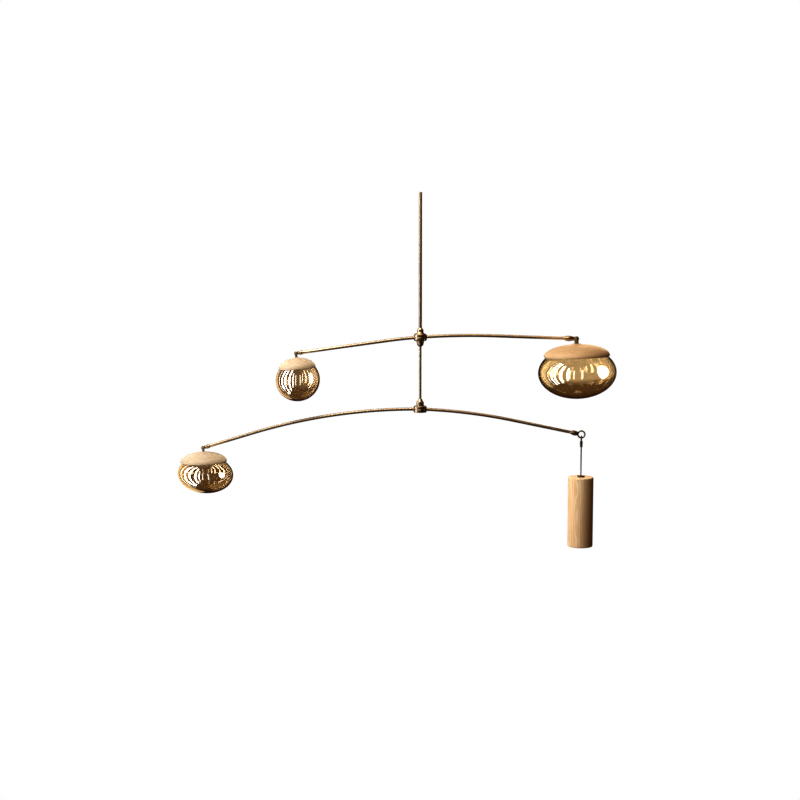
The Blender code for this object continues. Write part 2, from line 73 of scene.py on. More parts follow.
# Counterweight and its hanger
EYE_RING_RADIUS = 0.0110
EYE_WIRE_DIAMETER = 0.0050
EYE_FERRULE_LENGTH = 0.0215
EYE_FERRULE_DIAMETER = 0.0165
HANGER_WIRE_DIAMETER = 0.0044
HANGER_DROP = 0.1380
SLEEVE_DROP = 0.0210
SLEEVE_LENGTH = 0.0200
SLEEVE_WALL = 0.0018
SLEEVE_SQUASH = 0.66            # its width from the front, as a share of its depth
SLEEVE_SWELL_TOP = 0.0030
SLEEVE_SWELL_BOTTOM = 0.0090
SLEEVE_EDGE = 0.0005
HANGER_BEND = 0.0110
HANGER_BEND_STEPS = 12
WEIGHT_DIAMETER = 0.0810
WEIGHT_HEIGHT = 0.2257
WEIGHT_EDGE = 0.0030
WEIGHT_COLLAR_DIAMETER = 0.0240
WEIGHT_COLLAR_HEIGHT = 0.0050
WEIGHT_COLLAR_EDGE = WEIGHT_COLLAR_HEIGHT / 4
WEIGHT_HOLE_DEPTH = 0.0150

# Ferrules, as shares of their radius or length
FERRULE_NOSE = 0.72
FERRULE_FULL_FROM = 0.42
FERRULE_FULL_TO = 0.60
FERRULE_SOCKET = 0.60

# Knuckles and their screws
TONGUE_WIDTH = 0.80             # share of the disc's diameter
TONGUE_IN_STEM = 0.90           # share of the stem's diameter, at most
TONGUE_GRIP = 0.15              # share of the ferrule's length
SCREW_HEAD_HEIGHT = 0.0012
SCREW_SLOT_WIDTH = 0.18         # share of the head's diameter
SCREW_SLOT_LENGTH = 1.2         # share of the head's diameter
SCREW_SLOT_DEPTH = 0.0006
SCREW_SLOT_EDGE = 0.00005
SCREW_SLOT_TURN = 28.0          # degrees

# Shades
GLASS_WALL = 0.0030
CAP_CROWN = 0.0080
CAP_SEAT = 0.0040
CAP_EDGE = 0.0012
BOSS_FOOT = 1.25                # share of the boss's radius, where the dome begins
BOSS_FILLET = 0.12              # share of the boss's radius
STEM_HOLE_DEPTH = 0.0045
GLASS_RIPPLE = 0.0004
GLASS_RIPPLE_FINENESS = 16.0    # waves per metre

# Finish of the shapes
TURNED_EDGE = 0.0006            # softening of turned metal edges
COLLAR_SOFTENING = 2 * TURNED_EDGE
DISC_EDGE = 0.0008
METAL_SEGMENTS = 64
SHADE_SEGMENTS = 128
WEIGHT_SEGMENTS = 96
ROD_SIDES = 32
WIRE_SIDES = 24
ARC_STEPS = 48
HALF_ARC_STEPS = 24
EDGE_STEPS = 8
CORNER_STEPS = 4
BLOCK_EDGE_STEPS = 3
CORNER_REACH = 0.45             # share of a side that a rounded corner takes, at most
ON_AXIS = 1e-7                  # a radius below this is a point on the axis
SMOOTH_ANGLE = 32.0             # degrees
WEAR_FROM = 9.0                 # degrees between faces where an edge's wear begins
WEAR_SPAN = 14.0                # and how many more make it full

# Camera
LENS = 63.0
SENSOR = 36.0
CAMERA_PLACE = (-0.0646, -4.456, -0.1975)
CAMERA_DIP = 5.913              # degrees below level
NEAR_CLIP = 0.05
FAR_CLIP = 60.0

# Room
CONTRAST = 1.3
FLOOR_HEIGHT = -3.2
FLOOR_SIZE = 16.0
BACKGROUND = (1.0, 1.0, 1.0, 1.0)
ROOM = (0.040, 0.018, 0.006, 1.0)
# The wall that is seen through the glass. Each pair is a fade's ends, as a direction's X or Z.
BEHIND_LEFT = (0.24, 0.14, 0.06, 1.0)
BEHIND_RIGHT = (1.20, 0.95, 0.58, 1.0)
LEFT_TO_RIGHT = (-0.12, 0.05)
BEHIND_LOW = (0.26, 0.15, 0.06, 1.0)
LOW_TO_WALL = (-0.120, -0.098)
BEHIND_SIDES = (1.60, 1.20, 0.70, 1.0)
WALL_TO_SIDES = (0.22, 0.40)
STRAIGHT_LIMIT = 1.5            # a ray with fewer mirrorings than this goes straight through

# Lights
LIGHT_COLOUR = (1.0, 0.97, 0.92)
FILL_COLOUR = (1.0, 0.72, 0.44)
GOLDEN_COLOUR = (1.0, 0.72, 0.36)
MIDDLE = (-0.1, 0.0, -0.6)      # what the panels face
# Wood and metal get soft windows, and the glass mirrors slim panes. Each span is the heights of
# a row's bottom and top. Each row gives two feet in plan and a brightness, and a colour where it
# isn't LIGHT_COLOUR.
SOFT_WINDOW_SPAN = (-1.70, 3.40)
SOFT_WINDOWS = (
    ((-3.5, -2.60), (-3.5, -1.60), 1.6),
    ((-3.5, -1.05), (-3.5, -0.25), 9.6),
    ((-3.5, 0.10), (-3.5, 1.05), 1.6),
)
PANE_SPAN = (-3.10, 2.60)
PANES = (
    ((-1.7, -3.30), (-1.7, -2.75), 7.0),
    ((-1.7, -1.75), (-1.7, -1.25), 9.0),
    ((-1.7, -0.66), (-1.7, -0.47), 11.0),
    ((-1.7, -0.18), (-1.7, 0.00), 11.0),
    ((-1.7, 0.38), (-1.7, 0.48), 5.0),
    ((-1.75, 0.90), (-1.10, 1.90), 1.1, GOLDEN_COLOUR),
    ((-2.75, -5.20), (-2.20, -5.20), 4.5),
    ((-1.30, -5.20), (-0.85, -5.20), 3.0),
    ((0.90, -5.20), (1.50, -5.20), 2.6),
)
# Place, width, height and brightness of the oval that the glass mirrors
OVAL_LIGHT = ((2.4, -0.5, -0.25), 1.5, 2.3, 5.0)
# The same of the soft panels for wood and metal, and a colour as above
SOFT_PANELS = (
    ((-0.8, -0.7, 1.3), 1.2, 1.2, 10.5),
    ((-1.4, -3.0, 1.0), 1.8, 1.2, 3.0, FILL_COLOUR),
    ((0.2, -0.8, 1.6), 1.2, 1.2, 5.2, FILL_COLOUR),
    ((-1.3, -1.3, -1.7), 1.2, 0.8, 2.4),
    ((-2.2, 3.0, 1.0), 1.6, 1.6, 4.0),
    ((1.4, 3.8, 0.8), 1.6, 1.6, 5.0, FILL_COLOUR),
)


@dataclass
class Arm:
    name: str
    side: int                   # 1 to the right, -1 to the left
    fall: float                 # degrees below level where it leaves the drum
    bend_radius: float
    bend_length: float          # how far along it the bend goes
    length: float               # to the pivot or the eye


@dataclass
class Collar:
    name: str
    foot_diameter: float
    foot_height: float
    body_diameter: float
    body_height: float
    shoulder_diameter: float
    shoulder_height: float

    def height(self):
        return self.foot_height + self.body_height + self.shoulder_height


@dataclass
class Knuckle:
    disc_diameter: float
    half_thickness: float
    clearance: float
    ferrule_length: float
    ferrule_diameter: float
    stem_diameter: float
    screw_diameter: float
    screw_head_diameter: float

    def body_top(self):
        """Height where its turned part begins, below the pivot."""
        return -(self.disc_diameter / 2 + self.clearance)


@dataclass
class Shade:
    name: str
    tilt: float                 # degrees, at rest
    boss_diameter: float
    boss_height: float
    rim_drop: float
    cap_diameter: float
    cap_height: float
    glass_drop: float
    glass_diameter: float
    glass_half_height: float
    glass_lean: float           # to the side, for each metre down
    ripple_seed: float


UPPER_LEFT_ARM = Arm(
    name="upper_left_arm", side=-1, fall=4.0,
    bend_radius=1.618, bend_length=0.110, length=0.3995)
UPPER_RIGHT_ARM = Arm(
    name="upper_right_arm", side=1, fall=-4.0,
    bend_radius=2.300, bend_length=0.240, length=0.4975)
LOWER_LEFT_ARM = Arm(
    name="lower_left_arm", side=-1, fall=-0.5,
    bend_radius=1.800, bend_length=0.540, length=0.7110)
LOWER_RIGHT_ARM = Arm(
    name="lower_right_arm", side=1, fall=2.1,
    bend_radius=1.787, bend_length=0.300, length=0.5245)

TOP_COLLAR = Collar(
    name="upper_top_collar", foot_diameter=0.0270, foot_height=0.0050,
    body_diameter=0.0204, body_height=0.0090, shoulder_diameter=0.0184, shoulder_height=0.0035)
BOTTOM_COLLAR = Collar(
    name="upper_bottom_collar", foot_diameter=0.0252, foot_height=0.0118,
    body_diameter=0.0200, body_height=0.0020, shoulder_diameter=0.0180, shoulder_height=0.0036)
LOWER_COLLAR = Collar(
    name="lower_collar", foot_diameter=0.0236, foot_height=0.0030,
    body_diameter=0.0236, body_height=0.0117, shoulder_diameter=0.0186, shoulder_height=0.0078)

SMALL_KNUCKLE = Knuckle(
    disc_diameter=0.0124, half_thickness=0.0042, clearance=0.0010,
    ferrule_length=0.0150, ferrule_diameter=0.0136, stem_diameter=0.0080,
    screw_diameter=0.0032, screw_head_diameter=0.0064)
LARGE_KNUCKLE = Knuckle(
    disc_diameter=0.0164, half_thickness=0.0056, clearance=0.0012,
    ferrule_length=0.0270, ferrule_diameter=0.0178, stem_diameter=0.0140,
    screw_diameter=0.0044, screw_head_diameter=0.0084)

SMALL_SHADE = Shade(
    name="small_shade", tilt=4.0, boss_diameter=0.0120, boss_height=0.0022,
    rim_drop=0.0487, cap_diameter=0.1180, cap_height=0.0340,
    glass_drop=0.0857, glass_diameter=0.1404, glass_half_height=0.0680, glass_lean=-0.020,
    ripple_seed=1.0)
LARGE_SHADE = Shade(
    name="large_shade", tilt=2.2, boss_diameter=0.0270, boss_height=0.0022,
    rim_drop=0.0570, cap_diameter=0.2100, cap_height=0.0390,
    glass_drop=0.1087, glass_diameter=0.2490, glass_half_height=0.0832, glass_lean=0.0,
    ripple_seed=2.0)
MEDIUM_SHADE = Shade(
    name="medium_shade", tilt=1.0, boss_diameter=0.0120, boss_height=0.0022,
    rim_drop=0.0464, cap_diameter=0.1480, cap_height=0.0325,
    glass_drop=0.0857, glass_diameter=0.1754, glass_half_height=0.0607, glass_lean=0.125,
    ripple_seed=3.0)

# Heights that follow from the sizes above
UPPER_DRUM_TOP = -UPPER_TIER_DROP + UPPER_DRUM_HEIGHT / 2
UPPER_DRUM_BOTTOM = UPPER_DRUM_TOP - UPPER_DRUM_HEIGHT
LOWER_TIER_DROP = UPPER_TIER_DROP + TIER_SPACING
LOWER_DRUM_TOP = -LOWER_TIER_DROP + LOWER_DRUM_HEIGHT / 2
TOP_COLLAR_BOTTOM = UPPER_DRUM_TOP + TURNING_GAP
ROD_SEAT = TOP_COLLAR_BOTTOM + TOP_COLLAR.height() / 2


def make_camera():
    data = bpy.data.cameras.new("camera")
    data.lens = LENS
    data.sensor_width = SENSOR
    data.clip_start = NEAR_CLIP
    data.clip_end = FAR_CLIP
    camera = bpy.data.objects.new("camera", data)
    camera.location = CAMERA_PLACE
    camera.rotation_euler = (math.radians(90.0 - CAMERA_DIP), 0.0, 0.0)
    bpy.context.scene.collection.objects.link(camera)
    bpy.context.scene.camera = camera


make_camera()


# Small tools for node trees

def fill(tree, node, inputs):
    """Fill a node's inputs, each with a value or another node's output."""
    for key, value in inputs.items():
        if isinstance(value, bpy.types.NodeSocket):
            tree.links.new(value, node.inputs[key])
        else:
            node.inputs[key].default_value = value


def put(tree, kind, inputs=None, **settings):
    """Add a node, set it up and fill its inputs."""
    made = tree.nodes.new(kind)
    for key, value in settings.items():
        setattr(made, key, value)
    fill(tree, made, inputs or {})
    return made


def work_out(tree, operation, *values):
    """A Math node's output."""
    return put(tree, "ShaderNodeMath", dict(enumerate(values)), operation=operation).outputs[0]


def vector_math(tree, operation, *values):
    """A Vector Math node."""
    return put(tree, "ShaderNodeVectorMath", dict(enumerate(values)), operation=operation)


def stretch(tree, place, scale):
    """A place scaled by a factor for each axis."""
    return vector_math(tree, "MULTIPLY", place, scale).outputs[0]


def from_axis(tree, place):
    """How far a place is from the Z axis."""
    flat = stretch(tree, place, (1.0, 1.0, 0.0))
    return vector_math(tree, "LENGTH", flat).outputs["Value"]


def mix_colours(tree, factor, first, second):
    """A colour between two, as the factor goes from 0 to 1."""
    node = put(tree, "ShaderNodeMix", {0: factor, 6: first, 7: second}, data_type="RGBA")
    return node.outputs[2]


def noise(tree, place, scale=1.0, detail=2.0, roughness=0.5):
    """Smooth random values around 0.5."""
    node = put(tree, "ShaderNodeTexNoise",
               {"Vector": place, "Scale": scale, "Detail": detail, "Roughness": roughness})
    return node.outputs[0]


def ramp(tree, value, low, high):
    """0 at low, 1 at high, smooth between and flat beyond."""
    node = put(tree, "ShaderNodeMapRange", {0: value, 1: low, 2: high},
               interpolation_type="SMOOTHSTEP")
    return node.outputs[0]


def new_group(name, kind, inputs, outputs):
    """A node group and the nodes for its inputs and outputs, from labels and their kinds."""
    tree = bpy.data.node_groups.new(name, kind)
    for direction, sockets in (("INPUT", inputs), ("OUTPUT", outputs)):
        for label, socket in sockets.items():
            tree.interface.new_socket(label, in_out=direction,
                                      socket_type="NodeSocket" + socket)
    return tree, tree.nodes.new("NodeGroupInput"), tree.nodes.new("NodeGroupOutput")


def new_finish(name):
    """A material with its tree and shader."""
    material = bpy.data.materials.new(name)
    material.use_nodes = True
    tree = material.node_tree
    return material, tree, tree.nodes["Principled BSDF"]


def own_place(tree):
    """Place on the piece in the frame that it was turned or drawn in, in metres."""
    return put(tree, "ShaderNodeAttribute", attribute_name="own_place").outputs["Vector"]


def edge_wear(tree):
    """1 on a piece's rounded edges and 0 away from them."""
    return put(tree, "ShaderNodeAttribute", attribute_name="edge_wear").outputs["Fac"]


SURFACE = {"Colour": "Color", "Roughness": "Float", "Height": "Float"}


def dress(tree, shader, surface, strength, distance):
    """Give the shader a group's colour and roughness, and its height as a fine relief."""
    relief = put(tree, "ShaderNodeBump", {"Strength": strength, "Distance": distance,
                                          "Height": surface.outputs["Height"]})
    fill(tree, shader, {"Base Color": surface.outputs["Colour"],
                        "Roughness": surface.outputs["Roughness"],
                        "Normal": relief.outputs[0]})


# Oak

# Noise scales per metre, across the fibres twice and then along them
RING_DRIFT = (22.0, 22.0, 5.0)
WOOD_FIBRES = (1500.0, 1500.0, 28.0)
WOOD_STREAKS = (240.0, 240.0, 5.0)
WOOD_CLOUDS = (30.0, 30.0, 6.0)
WOOD_PORES = (1700.0, 1700.0, 110.0)
PORE_LIMITS = (0.60, 0.68)
PORE_BROWN = (0.25, 0.13, 0.055, 1.0)
PORE_TONE = 0.12
PORES_IN_RING = 1.15            # less of them where a ring is dark
PORE_DEPTH = -0.8               # beside FIBRE_HEIGHT
FIBRE_HEIGHT = 0.5
RING_WANDER = 5.0               # ring widths that the rings drift by
EARLY_WOOD = (0.0, 0.42)        # shares of a ring's width, over which it darkens
LATE_WOOD = (1.0, 0.90)         # and over which it turns pale again
RING_TONE = 0.30
STREAK_TONE = 0.55
CLOUD_TONE = 0.55
FIBRE_TONE = 0.10
TONE_LIMITS = (0.40, 1.10)
OAK_ROUGHNESS = 0.42
FIBRE_ROUGHNESS = 0.16
OAK_SHEEN = 0.35
OAK_RELIEF = (0.25, 0.0002)     # strength and depth


def oak_grain_group():
    """Growth rings, fibres and pores of oak whose fibres run along Z."""
    tree, given, out = new_group(
        "oak_grain", "ShaderNodeTree",
        {"Place": "Vector", "Pith": "Vector", "Ring width": "Float", "Pale": "Color",
         "Deep": "Color"}, SURFACE)
    place = given.outputs["Place"]
    drift = noise(tree, stretch(tree, place, RING_DRIFT), detail=3.0)
    fibres = noise(tree, stretch(tree, place, WOOD_FIBRES), detail=4.0)
    streaks = noise(tree, stretch(tree, place, WOOD_STREAKS), detail=3.0)
    clouds = noise(tree, stretch(tree, place, WOOD_CLOUDS), detail=2.0)
    dashes = noise(tree, stretch(tree, place, WOOD_PORES), detail=1.0)

    from_pith = vector_math(tree, "ADD", place, given.outputs["Pith"]).outputs[0]
    count = work_out(tree, "DIVIDE", from_axis(tree, from_pith), given.outputs["Ring width"])
    wander = work_out(tree, "MULTIPLY", drift, RING_WANDER)
    phase = work_out(tree, "FRACT", work_out(tree, "ADD", count, wander))
    ring = work_out(tree, "MULTIPLY", ramp(tree, phase, *EARLY_WOOD),
                    ramp(tree, phase, *LATE_WOOD))
    pores = work_out(tree, "MULTIPLY", ramp(tree, dashes, *PORE_LIMITS),
                     work_out(tree, "SUBTRACT", PORES_IN_RING, ring))

    tone = work_out(tree, "MULTIPLY_ADD", ring, RING_TONE,
                    work_out(tree, "MULTIPLY", streaks, STREAK_TONE))
    tone = work_out(tree, "MULTIPLY_ADD", clouds, CLOUD_TONE, tone)
    tone = work_out(tree, "MULTIPLY_ADD", fibres, FIBRE_TONE, tone)
    tone = ramp(tree, tone, *TONE_LIMITS)
    colour = mix_colours(tree, tone, given.outputs["Pale"], given.outputs["Deep"])
    colour = mix_colours(tree, work_out(tree, "MULTIPLY", pores, PORE_TONE), colour, PORE_BROWN)
    rough = work_out(tree, "MULTIPLY_ADD", fibres, FIBRE_ROUGHNESS, OAK_ROUGHNESS)
    height = work_out(tree, "MULTIPLY_ADD", pores, PORE_DEPTH,
                      work_out(tree, "MULTIPLY", fibres, FIBRE_HEIGHT))
    fill(tree, out, {"Colour": colour, "Roughness": rough, "Height": height})
    return tree


OAK_GRAIN = oak_grain_group()


def oak_finish(name, turn, pith, ring_width, pale, deep):
    """Oiled oak, with turn as the rotation that brings its fibres to Z."""
    material, tree, shader = new_finish(name)
    place = put(tree, "ShaderNodeMapping",
                {"Vector": own_place(tree), "Rotation": turn}).outputs[0]
    grain = put(tree, "ShaderNodeGroup",
                {"Place": place, "Pith": pith, "Ring width": ring_width, "Pale": pale,
                 "Deep": deep}, node_tree=OAK_GRAIN)
    dress(tree, shader, grain, *OAK_RELIEF)
    shader.inputs["Specular IOR Level"].default_value = OAK_SHEEN
    return material


# Metal

# Noise scales per metre
PATINA_CLOUDS = 35.0
METAL_SPECKS = 900.0
TURNED_LINES = (2600.0, 2600.0, 2600.0)
DRAWN_LINES = (2200.0, 2200.0, 40.0)
CLOUD_LIMITS = (0.35, 0.75)
LINE_LIMITS = (0.50, 0.72)
TARNISH_TONE = 0.35
RUBBED_TONE = 0.10
WEAR_LIMITS = (0.05, 0.85)
WEAR_FALL = 2.0                 # power that keeps the wear close to an edge
SPECKS_IN_WEAR = 0.9
LEAST_WEAR = 0.45
CLOUD_ROUGHNESS = 0.12
LINE_ROUGHNESS = 0.06
SPECK_HEIGHT = 0.35
METAL_RELIEF = (0.05, 0.00004)  # strength and depth


def aged_metal_group():
    """Patina clouds, tool lines and worn edges of an old metal finish."""
    tree, given, out = new_group(
        "aged_metal", "ShaderNodeTree",
        {"Place": "Vector", "Line place": "Vector", "Edge wear": "Float", "Matness": "Float",
         "Worn": "Color", "Plain": "Color", "Tarnish": "Color"}, SURFACE)
    place = given.outputs["Place"]
    clouds = noise(tree, place, PATINA_CLOUDS, 2.0, 0.5)
    specks = noise(tree, place, METAL_SPECKS, 3.0, 0.6)
    lines = noise(tree, given.outputs["Line place"], 1.0, 3.0, 0.65)

    tarnish = work_out(tree, "MULTIPLY", ramp(tree, clouds, *CLOUD_LIMITS), TARNISH_TONE)
    colour = mix_colours(tree, tarnish, given.outputs["Plain"], given.outputs["Tarnish"])
    rubbed = work_out(tree, "MULTIPLY", ramp(tree, lines, *LINE_LIMITS), RUBBED_TONE)
    colour = mix_colours(tree, rubbed, colour, given.outputs["Worn"])
    broken = work_out(tree, "MULTIPLY_ADD", specks, SPECKS_IN_WEAR, LEAST_WEAR)
    worn = work_out(tree, "POWER", given.outputs["Edge wear"], WEAR_FALL)
    worn = ramp(tree, work_out(tree, "MULTIPLY", worn, broken), *WEAR_LIMITS)
    colour = mix_colours(tree, worn, colour, given.outputs["Worn"])

    rough = work_out(tree, "MULTIPLY_ADD", clouds, CLOUD_ROUGHNESS, given.outputs["Matness"])
    rough = work_out(tree, "MULTIPLY_ADD", lines, LINE_ROUGHNESS, rough)
    height = work_out(tree, "MULTIPLY_ADD", specks, SPECK_HEIGHT, lines)
    fill(tree, out, {"Colour": colour, "Roughness": rough, "Height": height})
    return tree


AGED_METAL = aged_metal_group()


def metal_finish(name, tones, matness, turned):
    """A metal with tool lines round a turned piece, or along a drawn one."""
    material, tree, shader = new_finish(name)
    place = own_place(tree)
    if turned:
        height = put(tree, "ShaderNodeSeparateXYZ", {0: place}).outputs["Z"]
        section = put(tree, "ShaderNodeCombineXYZ", {"X": from_axis(tree, place), "Z": height})
        line_place = stretch(tree, section.outputs[0], TURNED_LINES)
    else:
        line_place = stretch(tree, place, DRAWN_LINES)
    aged = put(tree, "ShaderNodeGroup",
               {"Place": place, "Line place": line_place, "Edge wear": edge_wear(tree),
                "Matness": matness, **tones}, node_tree=AGED_METAL)
    dress(tree, shader, aged, *METAL_RELIEF)
    shader.inputs["Metallic"].default_value = 1.0
    return material


# Glass

GLASS_IOR = 1.7
GLASS_LUSTRE = 0.12
GLASS_DENSITY = 60.0            # of its colour, per metre
GLASS_CORDS = (12.0, 12.0, 90.0)
GLASS_SEEDS = 420.0
SEED_LIMITS = (0.74, 0.80)
SEED_HEIGHT = 0.05
GLASS_RELIEF = (0.08, 0.0004)   # strength and depth


def glass_finish(name, tint, depth_colour):
    """Blown glass with a thin metal lustre on it and a colour that deepens with its thickness."""
    material, tree, shader = new_finish(name)
    depth = put(tree, "ShaderNodeVolumeAbsorption",
                {"Color": depth_colour, "Density": GLASS_DENSITY})
    tree.links.new(depth.outputs[0], tree.nodes["Material Output"].inputs["Volume"])
    place = own_place(tree)
    cords = noise(tree, stretch(tree, place, GLASS_CORDS), detail=2.0)
    seeds = ramp(tree, noise(tree, place, GLASS_SEEDS, 1.0), *SEED_LIMITS)
    height = work_out(tree, "MULTIPLY_ADD", seeds, SEED_HEIGHT, cords)
    strength, distance = GLASS_RELIEF
    relief = put(tree, "ShaderNodeBump",
                 {"Strength": strength, "Distance": distance, "Height": height})
    fill(tree, shader, {"Base Color": tint, "Metallic": GLASS_LUSTRE, "Roughness": 0.0,
                        "IOR": GLASS_IOR, "Transmission Weight": 1.0,
                        "Normal": relief.outputs[0]})
    return material


# The finishes of the pieces

BRASS = {"Worn": (0.66, 0.54, 0.38, 1.0), "Plain": (0.37, 0.295, 0.205, 1.0),
         "Tarnish": (0.18, 0.135, 0.09, 1.0)}
DARK_METAL = {"Worn": (0.30, 0.25, 0.19, 1.0), "Plain": (0.085, 0.068, 0.050, 1.0),
              "Tarnish": (0.035, 0.028, 0.021, 1.0)}
TURNED_BRASS = metal_finish("turned_brass", BRASS, 0.24, True)
DRAWN_BRASS = metal_finish("drawn_brass", BRASS, 0.34, False)
TURNED_DARK = metal_finish("turned_dark_metal", DARK_METAL, 0.30, True)
DRAWN_DARK = metal_finish("drawn_dark_metal", DARK_METAL, 0.34, False)

# The caps are one oak. The large cap's warmer, browner pair below is painted shade, standing in for
# the weaker and warmer light on it; the small and medium caps take the paler pair.
PALE_OAK = (0.53, 0.45, 0.35, 1.0)
DEEP_OAK = (0.49, 0.40, 0.285, 1.0)
GOLDEN_SHADED_OAK = (0.57, 0.43, 0.27, 1.0)
BROWN_SHADED_OAK = (0.44, 0.29, 0.155, 1.0)
LIGHT_OAK = (0.94, 0.82, 0.62, 1.0)
STREAK_OAK = (0.72, 0.46, 0.23, 1.0)
CAP_GRAIN = (0.0, math.radians(90.0), 0.0)      # fibres across the cap, along X
WEIGHT_GRAIN = (0.0, 0.0, 0.0)                  # fibres up the weight
SMALL_CAP_OAK = oak_finish("small_cap_oak", CAP_GRAIN, (0.31, 0.02, 0.0), 0.0030,
                           PALE_OAK, DEEP_OAK)
MEDIUM_CAP_OAK = oak_finish("medium_cap_oak", CAP_GRAIN, (0.27, -0.03, 0.0), 0.0034,
                            PALE_OAK, DEEP_OAK)
# The large cap: the same oak grain, coloured with the painted-shade pair
LARGE_CAP_SHADED_OAK = oak_finish("large_cap_oak", CAP_GRAIN, (0.24, 0.05, 0.0), 0.0040,
                           GOLDEN_SHADED_OAK, BROWN_SHADED_OAK)
WEIGHT_OAK = oak_finish("weight_oak", WEIGHT_GRAIN, (0.03, 0.07, 0.0), 0.0048,
                        LIGHT_OAK, STREAK_OAK)

CLEAR_TINT = (0.97, 0.94, 0.88, 1.0)
GOLDEN_TINT = (0.97, 0.93, 0.84, 1.0)
AMBER_DEPTH = (0.85, 0.60, 0.30, 1.0)
GOLDEN_DEPTH = (0.80, 0.58, 0.22, 1.0)
SMALL_GLASS = glass_finish("smoky_amber_glass", CLEAR_TINT, AMBER_DEPTH)
MEDIUM_GLASS = glass_finish("clear_amber_glass", CLEAR_TINT, AMBER_DEPTH)
LARGE_GLASS = glass_finish("golden_amber_glass", GOLDEN_TINT, GOLDEN_DEPTH)


# Shape tools

def soften(points, size, steps=CORNER_STEPS, closed=False):
    """Round each corner of an outline, at most size along its sides, by a short curve."""
    rounded = []
    count = len(points)
    for index, corner in enumerate(points):
        if not closed and index in (0, count - 1):
            rounded.append(corner)
            continue
        here = Vector(corner)
        before = Vector(points[index - 1]) - here
        after = Vector(points[(index + 1) % count]) - here
        start = before * min(size / before.length, CORNER_REACH)
        end = after * min(size / after.length, CORNER_REACH)
        for step in range(steps + 1):
            share = step / steps
            place = here + start * (1 - share) ** 2 + end * share ** 2
            rounded.append((place.x, place.y))
    return rounded


def ellipse(radius, height, middle, start, end, steps):
    """Points of an elliptical arc, by its angle from straight up, in degrees."""
    points = []
    for step in range(steps + 1):
        angle = math.radians(start + (end - start) * step / steps)
        points.append((radius * math.sin(angle), middle + height * math.cos(angle)))
    return points


def rod_outline(radius, top, bottom):
    return [(0.0, top), (radius, top), (radius, bottom), (0.0, bottom)]


def lathe(profile, segments=METAL_SEGMENTS, closed=False):
    """A mesh turned about Z from (radius, height) points that run down its outer side."""
    shape = bmesh.new()
    rings = []
    for radius, height in profile:
        if radius < ON_AXIS:
            rings.append([shape.verts.new((0.0, 0.0, height))])
            continue
        ring = []
        for step in range(segments):
            angle = math.tau * step / segments
            ring.append(shape.verts.new((radius * math.cos(angle),
                                         radius * math.sin(angle), height)))
        rings.append(ring)
    pairs = list(zip(rings, rings[1:]))
    if closed:
        pairs.append((rings[-1], rings[0]))
    for upper, lower in pairs:
        for step in range(segments):
            beside = (step + 1) % segments
            corners = []
            for ring, place in ((upper, step), (lower, step), (lower, beside), (upper, beside)):
                corner = ring[place % len(ring)]
                if corner not in corners:
                    corners.append(corner)
            if len(corners) > 2:
                shape.faces.new(corners)
    mesh = bpy.data.meshes.new("turned")
    shape.to_mesh(mesh)
    shape.free()
    return mesh


def rounded_box(size, middle, edge):
    """A block with rounded edges."""
    shape = bmesh.new()
    bmesh.ops.create_cube(shape, size=1.0)
    bmesh.ops.scale(shape, vec=size, verts=shape.verts)
    bmesh.ops.translate(shape, vec=middle, verts=shape.verts)
    bmesh.ops.bevel(shape, geom=shape.edges[:], offset=edge, segments=BLOCK_EDGE_STEPS,
                    profile=0.5, affect="EDGES")
    mesh = bpy.data.meshes.new("block")
    shape.to_mesh(mesh)
    shape.free()
    return mesh


def loose(mesh):
    """An object for a mesh that is still being worked on."""
    obj = bpy.data.objects.new("work", mesh)
    bpy.context.scene.collection.objects.link(obj)
    return obj


def evaluated_mesh(obj):
    """The object's mesh with its modifiers in it; the object is removed."""
    evaluated = obj.evaluated_get(bpy.context.evaluated_depsgraph_get())
    mesh = bpy.data.meshes.new_from_object(evaluated)
    bpy.data.objects.remove(obj)
    return mesh


def combine(mesh, other, operation):
    """Join another mesh to this one, or cut it out."""
    base = loose(mesh)
    tool = loose(other)
    boolean = base.modifiers.new("Combine", "BOOLEAN")
    boolean.operation = operation
    boolean.object = tool
    made = evaluated_mesh(base)
    bpy.data.objects.remove(tool)
    return made


def end_tree(tree, last, given, out):
    """Make the geometry real and give it its finish."""
    real = put(tree, "GeometryNodeRealizeInstances", {0: last.outputs[0]})
    finished = put(tree, "GeometryNodeSetMaterial",
                   {"Geometry": real.outputs[0], "Material": given.outputs["Finish"]})
    tree.links.new(finished.outputs[0], out.inputs[0])


